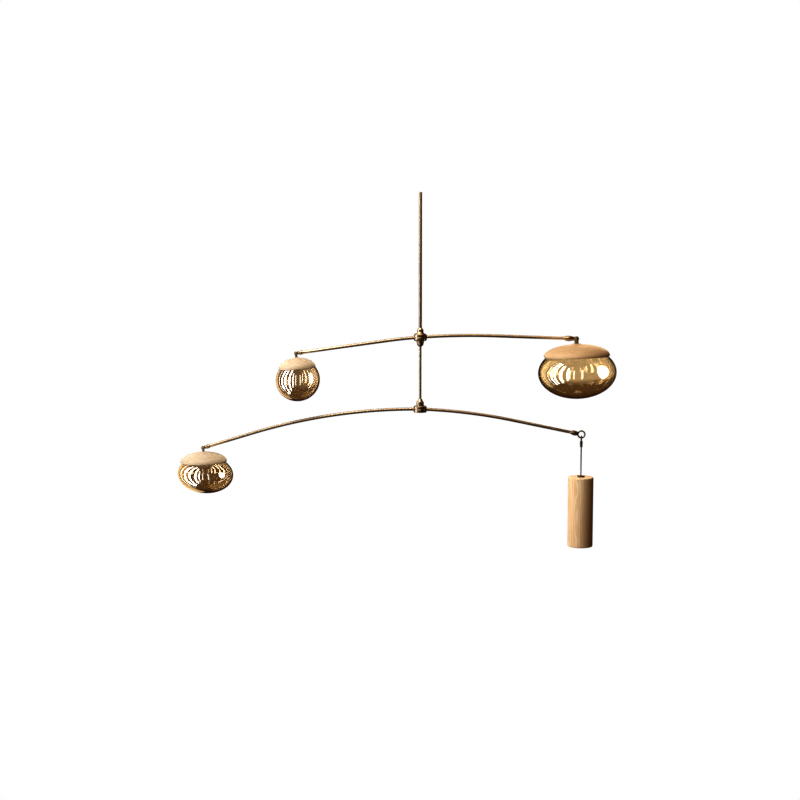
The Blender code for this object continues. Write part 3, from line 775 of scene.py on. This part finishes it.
def tube_tree():
    """Geometry nodes that put a round tube along an edge path and keep the place on it."""
    tree, given, out = new_group(
        "tube_along_path", "GeometryNodeTree",
        {"Path": "Geometry", "Radius": "Float", "Sides": "Int", "Finish": "Material"},
        {"Tube": "Geometry"})
    path = put(tree, "GeometryNodeMeshToCurve", {0: given.outputs["Path"]})
    spline = tree.nodes.new("GeometryNodeSplineParameter")
    along = put(tree, "GeometryNodeCaptureAttribute", {0: path.outputs[0]})
    along.capture_items.new("FLOAT", "Along")
    tree.links.new(spline.outputs["Length"], along.inputs["Along"])
    circle = put(tree, "GeometryNodeCurvePrimitiveCircle",
                 {"Resolution": given.outputs["Sides"], "Radius": given.outputs["Radius"]})
    around = put(tree, "GeometryNodeCaptureAttribute", {0: circle.outputs[0]})
    around.capture_items.new("VECTOR", "Around")
    tree.links.new(tree.nodes.new("GeometryNodeInputPosition").outputs[0],
                   around.inputs["Around"])
    tube = put(tree, "GeometryNodeCurveToMesh",
               {"Curve": along.outputs[0], "Profile Curve": around.outputs[0],
                "Fill Caps": True})
    split = put(tree, "ShaderNodeSeparateXYZ", {0: around.outputs["Around"]})
    place = put(tree, "ShaderNodeCombineXYZ",
                {"X": split.outputs["X"], "Y": split.outputs["Y"], "Z": along.outputs["Along"]})
    stored = put(tree, "GeometryNodeStoreNamedAttribute",
                 {"Geometry": tube.outputs[0], "Name": "own_place"},
                 data_type="FLOAT_VECTOR", domain="POINT")
    values = [socket for socket in stored.inputs
              if socket.name == "Value" and socket.type == "VECTOR"]
    tree.links.new(place.outputs[0], values[0])
    smooth = put(tree, "GeometryNodeSetShadeSmooth", {"Geometry": stored.outputs[0]})
    end_tree(tree, smooth, given, out)
    return tree


def ripple_tree():
    """Geometry nodes that give a smooth surface the slow unevenness of blown glass."""
    tree, given, out = new_group(
        "blown_ripple", "GeometryNodeTree",
        {"Bowl": "Geometry", "Height": "Float", "Fineness": "Float", "Seed": "Float",
         "Finish": "Material"},
        {"Blown bowl": "Geometry"})
    place = tree.nodes.new("GeometryNodeInputPosition").outputs[0]
    waves = put(tree, "ShaderNodeTexNoise",
                {"Vector": place, "W": given.outputs["Seed"],
                 "Scale": given.outputs["Fineness"], "Detail": 1.0},
                noise_dimensions="4D").outputs[0]
    height = work_out(tree, "MULTIPLY", work_out(tree, "SUBTRACT", waves, 0.5),
                      given.outputs["Height"])
    outward = vector_math(tree, "NORMALIZE", place).outputs[0]
    offset = put(tree, "ShaderNodeVectorMath", {0: outward, "Scale": height},
                 operation="SCALE")
    moved = put(tree, "GeometryNodeSetPosition",
                {"Geometry": given.outputs["Bowl"], "Offset": offset.outputs[0]})
    end_tree(tree, moved, given, out)
    return tree


TUBE_ALONG_PATH = tube_tree()
BLOWN_RIPPLE = ripple_tree()


def run_tree(mesh, tree, **values):
    """The mesh that a geometry node tree makes of another one."""
    obj = loose(mesh)
    modifier = obj.modifiers.new("Shape", "NODES")
    modifier.node_group = tree
    for item in tree.interface.items_tree:
        if item.in_out == "INPUT" and item.name in values:
            modifier[item.identifier] = values[item.name]
    return evaluated_mesh(obj)


def tube(points, diameter, finish, sides=ROD_SIDES, closed=False):
    """A round rod along points."""
    path = bpy.data.meshes.new("path")
    edges = [(index, index + 1) for index in range(len(points) - 1)]
    if closed:
        edges.append((len(points) - 1, 0))
    path.from_pydata(points, edges, [])
    return run_tree(path, TUBE_ALONG_PATH, Radius=diameter / 2, Sides=sides, Finish=finish)


def keep_own_place(mesh):
    """Remember where each point is before the piece is put in its place."""
    attribute = mesh.attributes.new("own_place", "FLOAT_VECTOR", "POINT")
    values = [axis for vertex in mesh.vertices for axis in vertex.co]
    attribute.data.foreach_set("vector", values)


def mark_edges(mesh):
    """Mark a mesh's rounded outer edges, where the finish wears off first."""
    shape = bmesh.new()
    shape.from_mesh(mesh)
    values = []
    for vertex in shape.verts:
        sharpest = 0.0
        for edge in vertex.link_edges:
            if len(edge.link_faces) == 2:
                sharpest = max(sharpest, edge.calc_face_angle_signed(0.0))
        wear = (math.degrees(sharpest) - WEAR_FROM) / WEAR_SPAN
        values.append(min(max(wear, 0.0), 1.0))
    shape.free()
    attribute = mesh.attributes.new("edge_wear", "FLOAT", "POINT")
    attribute.data.foreach_set("value", values)


PIECES = []


def finish_piece(name, mesh, finish, body, node, place=None):
    """Put a finished mesh in its place, on its body, for the solid that it replaces."""
    if "own_place" not in mesh.attributes:
        keep_own_place(mesh)
    mark_edges(mesh)
    if place is not None:
        mesh.transform(place)
    mesh.materials.clear()
    mesh.materials.append(finish)
    mesh.shade_smooth()
    mesh.set_sharp_from_angle(angle=math.radians(SMOOTH_ANGLE))
    mesh.name = name
    piece = bpy.data.objects.new(name, mesh)
    bpy.context.scene.collection.objects.link(piece)
    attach(piece, body)
    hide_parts(node)
    PIECES.append(piece)


def put_at(place, turn_y=0.0):
    return Matrix.Translation(place) @ Matrix.Rotation(turn_y, 4, "Y")


def put_on_stem(height):
    return put_at((0.0, 0.0, height))


TO_FRONT = Matrix.Rotation(math.pi / 2, 4, "X")        # turns an upright axis to the front


# Arms, ferrules and knuckles

def arm_place(arm, distance):
    """Where an arm's middle line is, and which way it heads, this far along it."""
    start = math.radians(arm.fall)
    bent = min(distance, arm.bend_length)
    heading = start + bent / arm.bend_radius
    x = arm.bend_radius * (math.sin(heading) - math.sin(start))
    z = arm.bend_radius * (math.cos(heading) - math.cos(start))
    straight = distance - bent
    x += straight * math.cos(heading)
    z -= straight * math.sin(heading)
    turn_y = math.atan2(arm.side * math.cos(heading), -math.sin(heading))
    return Vector((arm.side * x, 0.0, z)), turn_y


def make_arm(arm, body, tier_drop, ferrule_start):
    inner = DRUM_DIAMETER / 2 - ARM_SOCKET_DEPTH + GAP
    distances = [inner + (arm.bend_length - inner) * step / ARC_STEPS
                 for step in range(ARC_STEPS + 1)]
    distances.append(ferrule_start)
    points = [arm_place(arm, distance)[0] for distance in distances]
    mesh = tube(points, ARM_DIAMETER, DRAWN_BRASS)
    finish_piece("drawn_" + arm.name, mesh, DRAWN_BRASS, body, arm.name,
                 put_on_stem(-tier_drop))


def make_drum(name, height, edge, body, tier_drop, arms, bore_floor):
    radius = DRUM_DIAMETER / 2
    bore = LOWER_ROD_DIAMETER / 2 + TURNING_GAP
    half = height / 2
    side = [(radius - edge, half), (radius, half - edge),
            (radius, DRUM_GROOVE_WIDTH / 2), (radius - DRUM_GROOVE_DEPTH, 0.0),
            (radius, -DRUM_GROOVE_WIDTH / 2), (radius, edge - half), (radius - edge, -half)]
    if bore_floor:
        floor = bore_floor - half
        profile = [(0.0, floor), (bore, floor), (bore, half)] + side + [(0.0, -half)]
        mesh = lathe(soften(profile, TURNED_EDGE))
    else:
        profile = [(bore, half)] + side + [(bore, -half)]
        mesh = lathe(soften(profile, TURNED_EDGE, closed=True), closed=True)
    for arm in arms:
        depth = ARM_SOCKET_DEPTH + radius
        middle, turn_y = arm_place(arm, radius - ARM_SOCKET_DEPTH + depth / 2)
        hole = ARM_DIAMETER / 2 + GAP
        cutter = lathe(rod_outline(hole, depth / 2, -depth / 2))
        cutter.transform(put_at(middle, turn_y))
        mesh = combine(mesh, cutter, "DIFFERENCE")
    finish_piece("turned_" + name, mesh, TURNED_BRASS, body, name,
                 put_on_stem(-tier_drop))


def ferrule_mesh(length, diameter, start):
    """A turned ferrule from height start down, and where the arm's end seats in it."""
    widest = diameter / 2
    socket = ARM_DIAMETER / 2 + GAP
    inner_end = socket + (widest - socket) / 2
    depth = length * FERRULE_SOCKET
    bottom = start - length
    profile = [(0.0, start), (widest * FERRULE_NOSE, start),
               (widest, start - length * FERRULE_FULL_FROM),
               (widest, start - length * FERRULE_FULL_TO), (inner_end, bottom),
               (socket, bottom), (socket, bottom + depth), (0.0, bottom + depth)]
    return lathe(soften(profile, TURNED_EDGE)), bottom + depth - GAP


def disc_mesh(radius, thickness, middle_y):
    """A disc with softened rims and its axis along Y."""
    half = thickness / 2
    mesh = lathe(soften(rod_outline(radius, half, -half), DISC_EDGE))
    mesh.transform(Matrix.Translation((0.0, middle_y, 0.0)) @ TO_FRONT)
    return mesh


def half_knuckle(mesh, knuckle, front, reach, width):
    """Join a half disc and its tongue to a turned piece below the pivot, and bore it."""
    middle_y = front * (knuckle.half_thickness + TURNING_GAP) / 2
    disc = disc_mesh(knuckle.disc_diameter / 2, knuckle.half_thickness, middle_y)
    mesh = combine(mesh, disc, "UNION")
    tongue = rounded_box((width, knuckle.half_thickness, reach), (0.0, middle_y, -reach / 2),
                         DISC_EDGE / 2)
    mesh = combine(mesh, tongue, "UNION")
    bore = knuckle.screw_diameter / 2 + GAP
    depth = 2 * knuckle.half_thickness
    cutter = lathe(rod_outline(bore, depth, -depth))
    cutter.transform(TO_FRONT)
    return combine(mesh, cutter, "DIFFERENCE")


def make_arm_end(arm, knuckle, body, tier_drop):
    place, turn_y = arm_place(arm, arm.length)
    place.z -= tier_drop
    start = knuckle.body_top()
    mesh, seat = ferrule_mesh(knuckle.ferrule_length, knuckle.ferrule_diameter, start)
    mesh = half_knuckle(mesh, knuckle, 1, -start + TONGUE_GRIP * knuckle.ferrule_length,
                        knuckle.disc_diameter * TONGUE_WIDTH)
    node = arm.name.replace("_arm", "_ferrule")
    finish_piece("turned_" + node, mesh, TURNED_BRASS, body, node,
                 put_at(place, turn_y))
    make_arm(arm, body, tier_drop, arm.length + seat)
    return place


def ring_points(radius, steps):
    return [(radius * math.cos(math.tau * step / steps), 0.0,
             radius * math.sin(math.tau * step / steps)) for step in range(steps)]


def make_eye(arm, body, tier_drop):
    place, turn_y = arm_place(arm, arm.length)
    place.z -= tier_drop
    mesh, seat = ferrule_mesh(EYE_FERRULE_LENGTH, EYE_FERRULE_DIAMETER, -EYE_RING_RADIUS)
    ring = tube(ring_points(EYE_RING_RADIUS, METAL_SEGMENTS), EYE_WIRE_DIAMETER,
                TURNED_BRASS, closed=True)
    ring.attributes.remove(ring.attributes["own_place"])
    mesh = combine(mesh, ring, "UNION")
    finish_piece("turned_eye_ferrule", mesh, TURNED_BRASS, body, "eye_ferrule",
                 put_at(place, turn_y))
    make_arm(arm, body, tier_drop, arm.length + seat)
    return place


# Stem

def collar_profile(collar, bore):
    height = collar.height()
    shoulder = height - collar.shoulder_height
    body = collar.body_diameter / 2
    return [(bore, height), (bore + COLLAR_NECK_WALL, height),
            (collar.shoulder_diameter / 2, shoulder), (body, shoulder - COLLAR_EDGE),
            (body, collar.foot_height), (collar.foot_diameter / 2, 0.0), (bore, 0.0)]


def make_collar(collar, profile, height):
    mesh = lathe(soften(profile, COLLAR_SOFTENING, closed=True), closed=True)
    finish_piece("turned_" + collar.name, mesh, TURNED_BRASS, "stem", collar.name,
                 put_on_stem(height))


def rod_mesh(diameter, length):
    """A rod from height 0 down, with its ends just broken."""
    return lathe(soften(rod_outline(diameter / 2, 0.0, -length), ROD_END_EDGE))


def make_stem():
    rod_bore = DROP_ROD_DIAMETER / 2 + GAP
    lower_bore = LOWER_ROD_DIAMETER / 2 + GAP
    mesh = rod_mesh(DROP_ROD_DIAMETER, -(ROD_SEAT + GAP))
    finish_piece("drawn_drop_rod", mesh, DRAWN_BRASS, "stem", "drop_rod")
    step = ROD_SEAT - TOP_COLLAR_BOTTOM
    profile = collar_profile(TOP_COLLAR, rod_bore)
    profile[-1:] = [(lower_bore, 0.0), (lower_bore, step), (rod_bore, step)]
    make_collar(TOP_COLLAR, profile, TOP_COLLAR_BOTTOM)
    profile = collar_profile(BOTTOM_COLLAR, lower_bore)
    profile = [(across, -up) for across, up in reversed(profile)]
    make_collar(BOTTOM_COLLAR, profile, UPPER_DRUM_BOTTOM - TURNING_GAP)
    make_collar(LOWER_COLLAR, collar_profile(LOWER_COLLAR, lower_bore),
                LOWER_DRUM_TOP + TURNING_GAP)
    top = ROD_SEAT - GAP
    bottom = LOWER_DRUM_TOP - LOWER_DRUM_HEIGHT + LOWER_DRUM_FLOOR + TURNING_GAP
    finish_piece("drawn_lower_rod", rod_mesh(LOWER_ROD_DIAMETER, top - bottom), DRAWN_BRASS,
                 "stem", "lower_rod", put_on_stem(top))


# Shades

def make_knuckle_front(shade, knuckle, place):
    start = knuckle.body_top()
    boss_top = shade.cap_height - shade.rim_drop + shade.boss_height
    bottom = boss_top - STEM_HOLE_DEPTH + GAP
    mesh = lathe(soften(rod_outline(knuckle.stem_diameter / 2, start, bottom), TURNED_EDGE))
    mesh = half_knuckle(mesh, knuckle, -1, -start + (start - bottom) / 2,
                        min(knuckle.disc_diameter * TONGUE_WIDTH,
                            knuckle.stem_diameter * TONGUE_IN_STEM))
    node = shade.name + "_knuckle"
    finish_piece("turned_" + node, mesh, TURNED_BRASS, shade.name, node, place)


def make_pivot_screw(shade, knuckle, place):
    shank = knuckle.screw_diameter / 2
    head = knuckle.screw_head_diameter / 2
    depth = knuckle.half_thickness + TURNING_GAP / 2
    face = depth + GAP
    crown = ellipse(head, SCREW_HEAD_HEIGHT, face, 0, 90, EDGE_STEPS)
    mesh = lathe(crown + [(shank, face), (shank, -depth), (0.0, -depth)])
    slot = rounded_box((2 * head * SCREW_SLOT_LENGTH, 2 * head * SCREW_SLOT_WIDTH,
                        2 * SCREW_SLOT_DEPTH), (0.0, 0.0, face + SCREW_HEAD_HEIGHT),
                       SCREW_SLOT_EDGE)
    slot.transform(Matrix.Rotation(math.radians(SCREW_SLOT_TURN), 4, "Z"))
    mesh = combine(mesh, slot, "DIFFERENCE")
    node = shade.name + "_pivot_screw"
    finish_piece("slotted_" + node, mesh, TURNED_BRASS, shade.name, node,
                 place @ TO_FRONT)


def glass_lip_radius(shade):
    rise = (shade.glass_drop - shade.rim_drop - GAP) / shade.glass_half_height
    return shade.glass_diameter / 2 * math.sqrt(1 - rise * rise)


def make_cap(shade, knuckle, place, finish):
    rim = -shade.rim_drop
    radius = shade.cap_diameter / 2
    inner_radius = glass_lip_radius(shade) - GLASS_WALL - CAP_SEAT
    boss = shade.boss_diameter / 2
    boss_top = rim + shade.cap_height + shade.boss_height
    hole = knuckle.stem_diameter / 2 + GAP
    hole_bottom = boss_top - STEM_HOLE_DEPTH
    boss_foot = math.degrees(math.asin(BOSS_FOOT * boss / radius))
    dome = ellipse(radius, shade.cap_height - CAP_EDGE, rim + CAP_EDGE, boss_foot, 90,
                   ARC_STEPS)
    edge = [(radius - CAP_EDGE + across, rim + CAP_EDGE + up) for across, up in
            ellipse(CAP_EDGE, CAP_EDGE, 0.0, 90, 180, CORNER_STEPS)]
    hollow = ellipse(inner_radius, shade.cap_height - CAP_CROWN, rim, 90, 0, HALF_ARC_STEPS)
    top = soften([(0.0, hole_bottom), (hole, hole_bottom), (hole, boss_top),
                  (boss, boss_top), dome[0], dome[2]], boss * BOSS_FILLET)
    profile = top[:-1] + dome[2:-1] + edge + hollow
    mesh = lathe(profile, SHADE_SEGMENTS)
    node = shade.name + "_cap"
    finish_piece("turned_" + node, mesh, finish, shade.name, node, place)


def make_glass(shade, place, finish):
    lip = -shade.rim_drop - GAP
    middle = -shade.glass_drop
    half = shade.glass_half_height
    start = math.degrees(math.acos((lip - middle) / half))
    inner_half = half - GLASS_WALL
    inner_start = math.degrees(math.acos((lip - middle) / inner_half))
    radius = shade.glass_diameter / 2
    inner = ellipse(radius - GLASS_WALL, inner_half, middle, 180, inner_start, ARC_STEPS)
    outer = ellipse(radius, half, middle, start, 180, ARC_STEPS)
    mesh = lathe(inner + outer, SHADE_SEGMENTS)
    for vertex in mesh.vertices:
        vertex.co.x += shade.glass_lean * (lip - vertex.co.z)
    keep_own_place(mesh)
    mesh = run_tree(mesh, BLOWN_RIPPLE, Height=GLASS_RIPPLE, Fineness=GLASS_RIPPLE_FINENESS,
                    Seed=shade.ripple_seed, Finish=finish)
    node = shade.name + "_glass"
    finish_piece("blown_" + node, mesh, finish, shade.name, node, place)


def make_shade(shade, knuckle, pivot, oak, glass):
    place = put_at(pivot, -math.radians(shade.tilt))
    make_knuckle_front(shade, knuckle, place)
    make_pivot_screw(shade, knuckle, place)
    make_cap(shade, knuckle, place, oak)
    make_glass(shade, place, glass)


# Counterweight

WIRE_RADIUS = HANGER_WIRE_DIAMETER / 2
WIRE_BORE = WIRE_RADIUS + GAP
STRAND_OFFSET = WIRE_RADIUS + GAP / 2          # of each strand in the sleeve


def make_hanger_wire(eye):
    x, _, z = eye
    ring_wire = z - EYE_RING_RADIUS
    loop = EYE_WIRE_DIAMETER / 2 + TURNING_GAP + WIRE_RADIUS
    sleeve_top = z - SLEEVE_DROP
    sleeve_bottom = sleeve_top - SLEEVE_LENGTH
    points = [(x, 0.0, z - HANGER_DROP - WEIGHT_HOLE_DEPTH + GAP)]
    for step in range(HANGER_BEND_STEPS + 1):
        share = step / HANGER_BEND_STEPS
        eased = share * share * (3 - 2 * share)
        points.append((x, -STRAND_OFFSET * eased, sleeve_bottom - HANGER_BEND * (1 - share)))
    points.append((x, -STRAND_OFFSET, sleeve_top))
    for across, up in ellipse(loop, loop, ring_wire, -90, 90, HALF_ARC_STEPS):
        points.append((x, across, up))
    points += [(x, STRAND_OFFSET, sleeve_top), (x, STRAND_OFFSET, sleeve_bottom + GAP)]
    finish_piece("looped_hanger_wire", tube(points, HANGER_WIRE_DIAMETER, DRAWN_DARK, WIRE_SIDES),
                 DRAWN_DARK, "lower_tier", "hanger_wire")


def make_crimp_sleeve(eye):
    x, _, z = eye
    bore = STRAND_OFFSET + WIRE_RADIUS + 2 * GAP
    outer = bore + SLEEVE_WALL
    profile = [(bore, SLEEVE_LENGTH), (outer - SLEEVE_WALL / 2, SLEEVE_LENGTH),
               (outer, SLEEVE_LENGTH - SLEEVE_SWELL_TOP),
               (outer, SLEEVE_LENGTH - SLEEVE_SWELL_BOTTOM),
               (bore + SLEEVE_WALL / 2, 0.0), (bore, 0.0)]
    mesh = lathe(soften(profile, SLEEVE_EDGE, closed=True), closed=True)
    mesh.transform(Matrix.Diagonal((SLEEVE_SQUASH, 1.0, 1.0, 1.0)))
    finish_piece("crimped_sleeve", mesh, TURNED_DARK, "lower_tier",
                 "crimp_sleeve", put_at((x, 0.0, z - SLEEVE_DROP - SLEEVE_LENGTH)))


def make_weight_collar(eye):
    x, _, z = eye
    radius = WEIGHT_COLLAR_DIAMETER / 2
    shoulder = WEIGHT_COLLAR_HEIGHT - WEIGHT_COLLAR_EDGE
    profile = [(WIRE_BORE, WEIGHT_COLLAR_HEIGHT),
               (radius - WEIGHT_COLLAR_EDGE, WEIGHT_COLLAR_HEIGHT), (radius, shoulder),
               (radius, 0.0), (WIRE_BORE, 0.0)]
    mesh = lathe(soften(profile, TURNED_EDGE, closed=True), closed=True)
    finish_piece("turned_weight_collar", mesh, TURNED_DARK, "lower_tier",
                 "weight_collar", put_at((x, 0.0, z - HANGER_DROP + GAP)))


def make_oak_weight(eye):
    x, _, z = eye
    flat = WEIGHT_DIAMETER / 2 - WEIGHT_EDGE
    edges = []
    for middle, start in ((-WEIGHT_EDGE, 0), (WEIGHT_EDGE - WEIGHT_HEIGHT, 90)):
        edges += [(flat + across, up) for across, up in
                  ellipse(WEIGHT_EDGE, WEIGHT_EDGE, middle, start, start + 90, EDGE_STEPS)]
    profile = [(0.0, -WEIGHT_HOLE_DEPTH), (WIRE_BORE, -WEIGHT_HOLE_DEPTH), (WIRE_BORE, 0.0)]
    profile += edges + [(0.0, -WEIGHT_HEIGHT)]
    finish_piece("turned_oak_weight", lathe(profile, WEIGHT_SEGMENTS), WEIGHT_OAK,
                 "lower_tier", "oak_weight", put_at((x, 0.0, z - HANGER_DROP)))


# Tiers

def make_upper_tier():
    make_drum("upper_drum", UPPER_DRUM_HEIGHT, UPPER_DRUM_EDGE, "upper_tier",
              UPPER_TIER_DROP, (UPPER_LEFT_ARM, UPPER_RIGHT_ARM), 0.0)
    pivot = make_arm_end(UPPER_LEFT_ARM, SMALL_KNUCKLE, "upper_tier", UPPER_TIER_DROP)
    make_shade(SMALL_SHADE, SMALL_KNUCKLE, pivot, SMALL_CAP_OAK, SMALL_GLASS)
    pivot = make_arm_end(UPPER_RIGHT_ARM, LARGE_KNUCKLE, "upper_tier", UPPER_TIER_DROP)
    make_shade(LARGE_SHADE, LARGE_KNUCKLE, pivot, LARGE_CAP_SHADED_OAK, LARGE_GLASS)


def make_lower_tier():
    make_drum("lower_drum", LOWER_DRUM_HEIGHT, LOWER_DRUM_EDGE, "lower_tier",
              LOWER_TIER_DROP, (LOWER_LEFT_ARM, LOWER_RIGHT_ARM), LOWER_DRUM_FLOOR)
    pivot = make_arm_end(LOWER_LEFT_ARM, SMALL_KNUCKLE, "lower_tier", LOWER_TIER_DROP)
    make_shade(MEDIUM_SHADE, SMALL_KNUCKLE, pivot, MEDIUM_CAP_OAK, MEDIUM_GLASS)
    eye = make_eye(LOWER_RIGHT_ARM, "lower_tier", LOWER_TIER_DROP)
    make_hanger_wire(eye)
    make_crimp_sleeve(eye)
    make_weight_collar(eye)
    make_oak_weight(eye)


# Studio

def make_world():
    """White to the camera; straight through the glass a wall that is brown on the left, straw on
    the right, pale at the sides and dark below; and a dim room for everything else."""
    world = bpy.data.worlds.new("studio")
    world.use_nodes = True
    tree = world.node_tree
    rays = tree.nodes.new("ShaderNodeLightPath").outputs
    towards = put(tree, "ShaderNodeSeparateXYZ",
                  {0: tree.nodes.new("ShaderNodeTexCoord").outputs["Generated"]}).outputs
    wall = mix_colours(tree, ramp(tree, towards["X"], *LEFT_TO_RIGHT), BEHIND_LEFT, BEHIND_RIGHT)
    wall = mix_colours(tree, ramp(tree, towards["Z"], *LOW_TO_WALL), BEHIND_LOW, wall)
    aside = ramp(tree, work_out(tree, "ABSOLUTE", towards["X"]), *WALL_TO_SIDES)
    wall = mix_colours(tree, aside, wall, BEHIND_SIDES)
    mirrored = work_out(tree, "SUBTRACT", rays["Ray Depth"], rays["Transmission Depth"])
    straight = work_out(tree, "LESS_THAN", mirrored, STRAIGHT_LIMIT)
    through = work_out(tree, "MULTIPLY", straight, rays["Is Transmission Ray"])
    colour = mix_colours(tree, through, ROOM, wall)
    colour = mix_colours(tree, rays["Is Camera Ray"], colour, BACKGROUND)
    tree.links.new(colour, tree.nodes["Background"].inputs["Color"])
    bpy.context.scene.world = world


def make_floor():
    """A floor that the camera sees as white, and everything else as the dim room."""
    mesh = bpy.data.meshes.new("floor")
    half = FLOOR_SIZE / 2
    corners = [(x, y, FLOOR_HEIGHT) for x, y in
               ((-half, -half), (half, -half), (half, half), (-half, half))]
    mesh.from_pydata(corners, [], [(0, 1, 2, 3)])
    material, tree, shader = new_finish("pale_floor")
    tree.nodes.remove(shader)
    seen = tree.nodes.new("ShaderNodeLightPath").outputs["Is Camera Ray"]
    glow = put(tree, "ShaderNodeEmission",
               {"Color": mix_colours(tree, seen, ROOM, BACKGROUND)})
    tree.links.new(glow.outputs[0], tree.nodes["Material Output"].inputs["Surface"])
    mesh.materials.append(material)
    floor = bpy.data.objects.new("floor", mesh)
    bpy.context.scene.collection.objects.link(floor)


def make_panel(name, lit, target, place, width, height, brightness, colour=LIGHT_COLOUR):
    """A soft light, turned to a target, that reaches only the pieces of one collection."""
    data = bpy.data.lights.new(name, "AREA")
    data.shape = "RECTANGLE"
    data.size = width
    data.size_y = height
    data.energy = math.pi * width * height * brightness
    data.color = colour
    lamp = bpy.data.objects.new(name, data)
    lamp.location = place
    towards = Vector(target) - Vector(place)
    lamp.rotation_euler = towards.to_track_quat("-Z", "Y").to_euler()
    lamp.visible_camera = False
    lamp.light_linking.receiver_collection = lit
    bpy.context.scene.collection.objects.link(lamp)
    return lamp


def make_panes(name, lit, panes, bottom, top):
    """Upright lights that stand between two feet and face the drop rod's side."""
    height = top - bottom
    for number, (start, end, *glow) in enumerate(panes):
        foot = Vector(start)
        along = Vector(end) - foot
        middle = (foot + along / 2).to_3d()
        middle.z = bottom + height / 2
        inward = Vector((-along.y, along.x, 0.0))
        if inward.dot(middle) > 0:
            inward = -inward
        make_panel(f"{name}_{number}", lit, middle + inward, middle, along.length, height, *glow)


def collect(name, pieces):
    """A collection of pieces that a light can be for."""
    made = bpy.data.collections.new(name)
    for piece in pieces:
        made.objects.link(piece)
    return made


def make_lights():
    glass = collect("glass_pieces", [piece for piece in PIECES if "glass" in piece.name])
    others = collect("wood_and_metal_pieces",
                     [piece for piece in PIECES if "glass" not in piece.name])
    make_panes("soft_window", others, SOFT_WINDOWS, *SOFT_WINDOW_SPAN)
    make_panes("clear_pane", glass, PANES, *PANE_SPAN)
    oval = make_panel("oval_light", glass, MIDDLE, *OVAL_LIGHT)
    oval.data.shape = "ELLIPSE"
    for number, panel in enumerate(SOFT_PANELS):
        make_panel(f"soft_panel_{number}", others, MIDDLE, *panel)


def set_colours():
    settings = bpy.context.scene.view_settings
    settings.view_transform = "Standard"
    settings.look = "None"
    settings.gamma = 1 / CONTRAST


make_stem()
make_upper_tier()
make_lower_tier()
make_world()
make_floor()
make_lights()
set_colours()
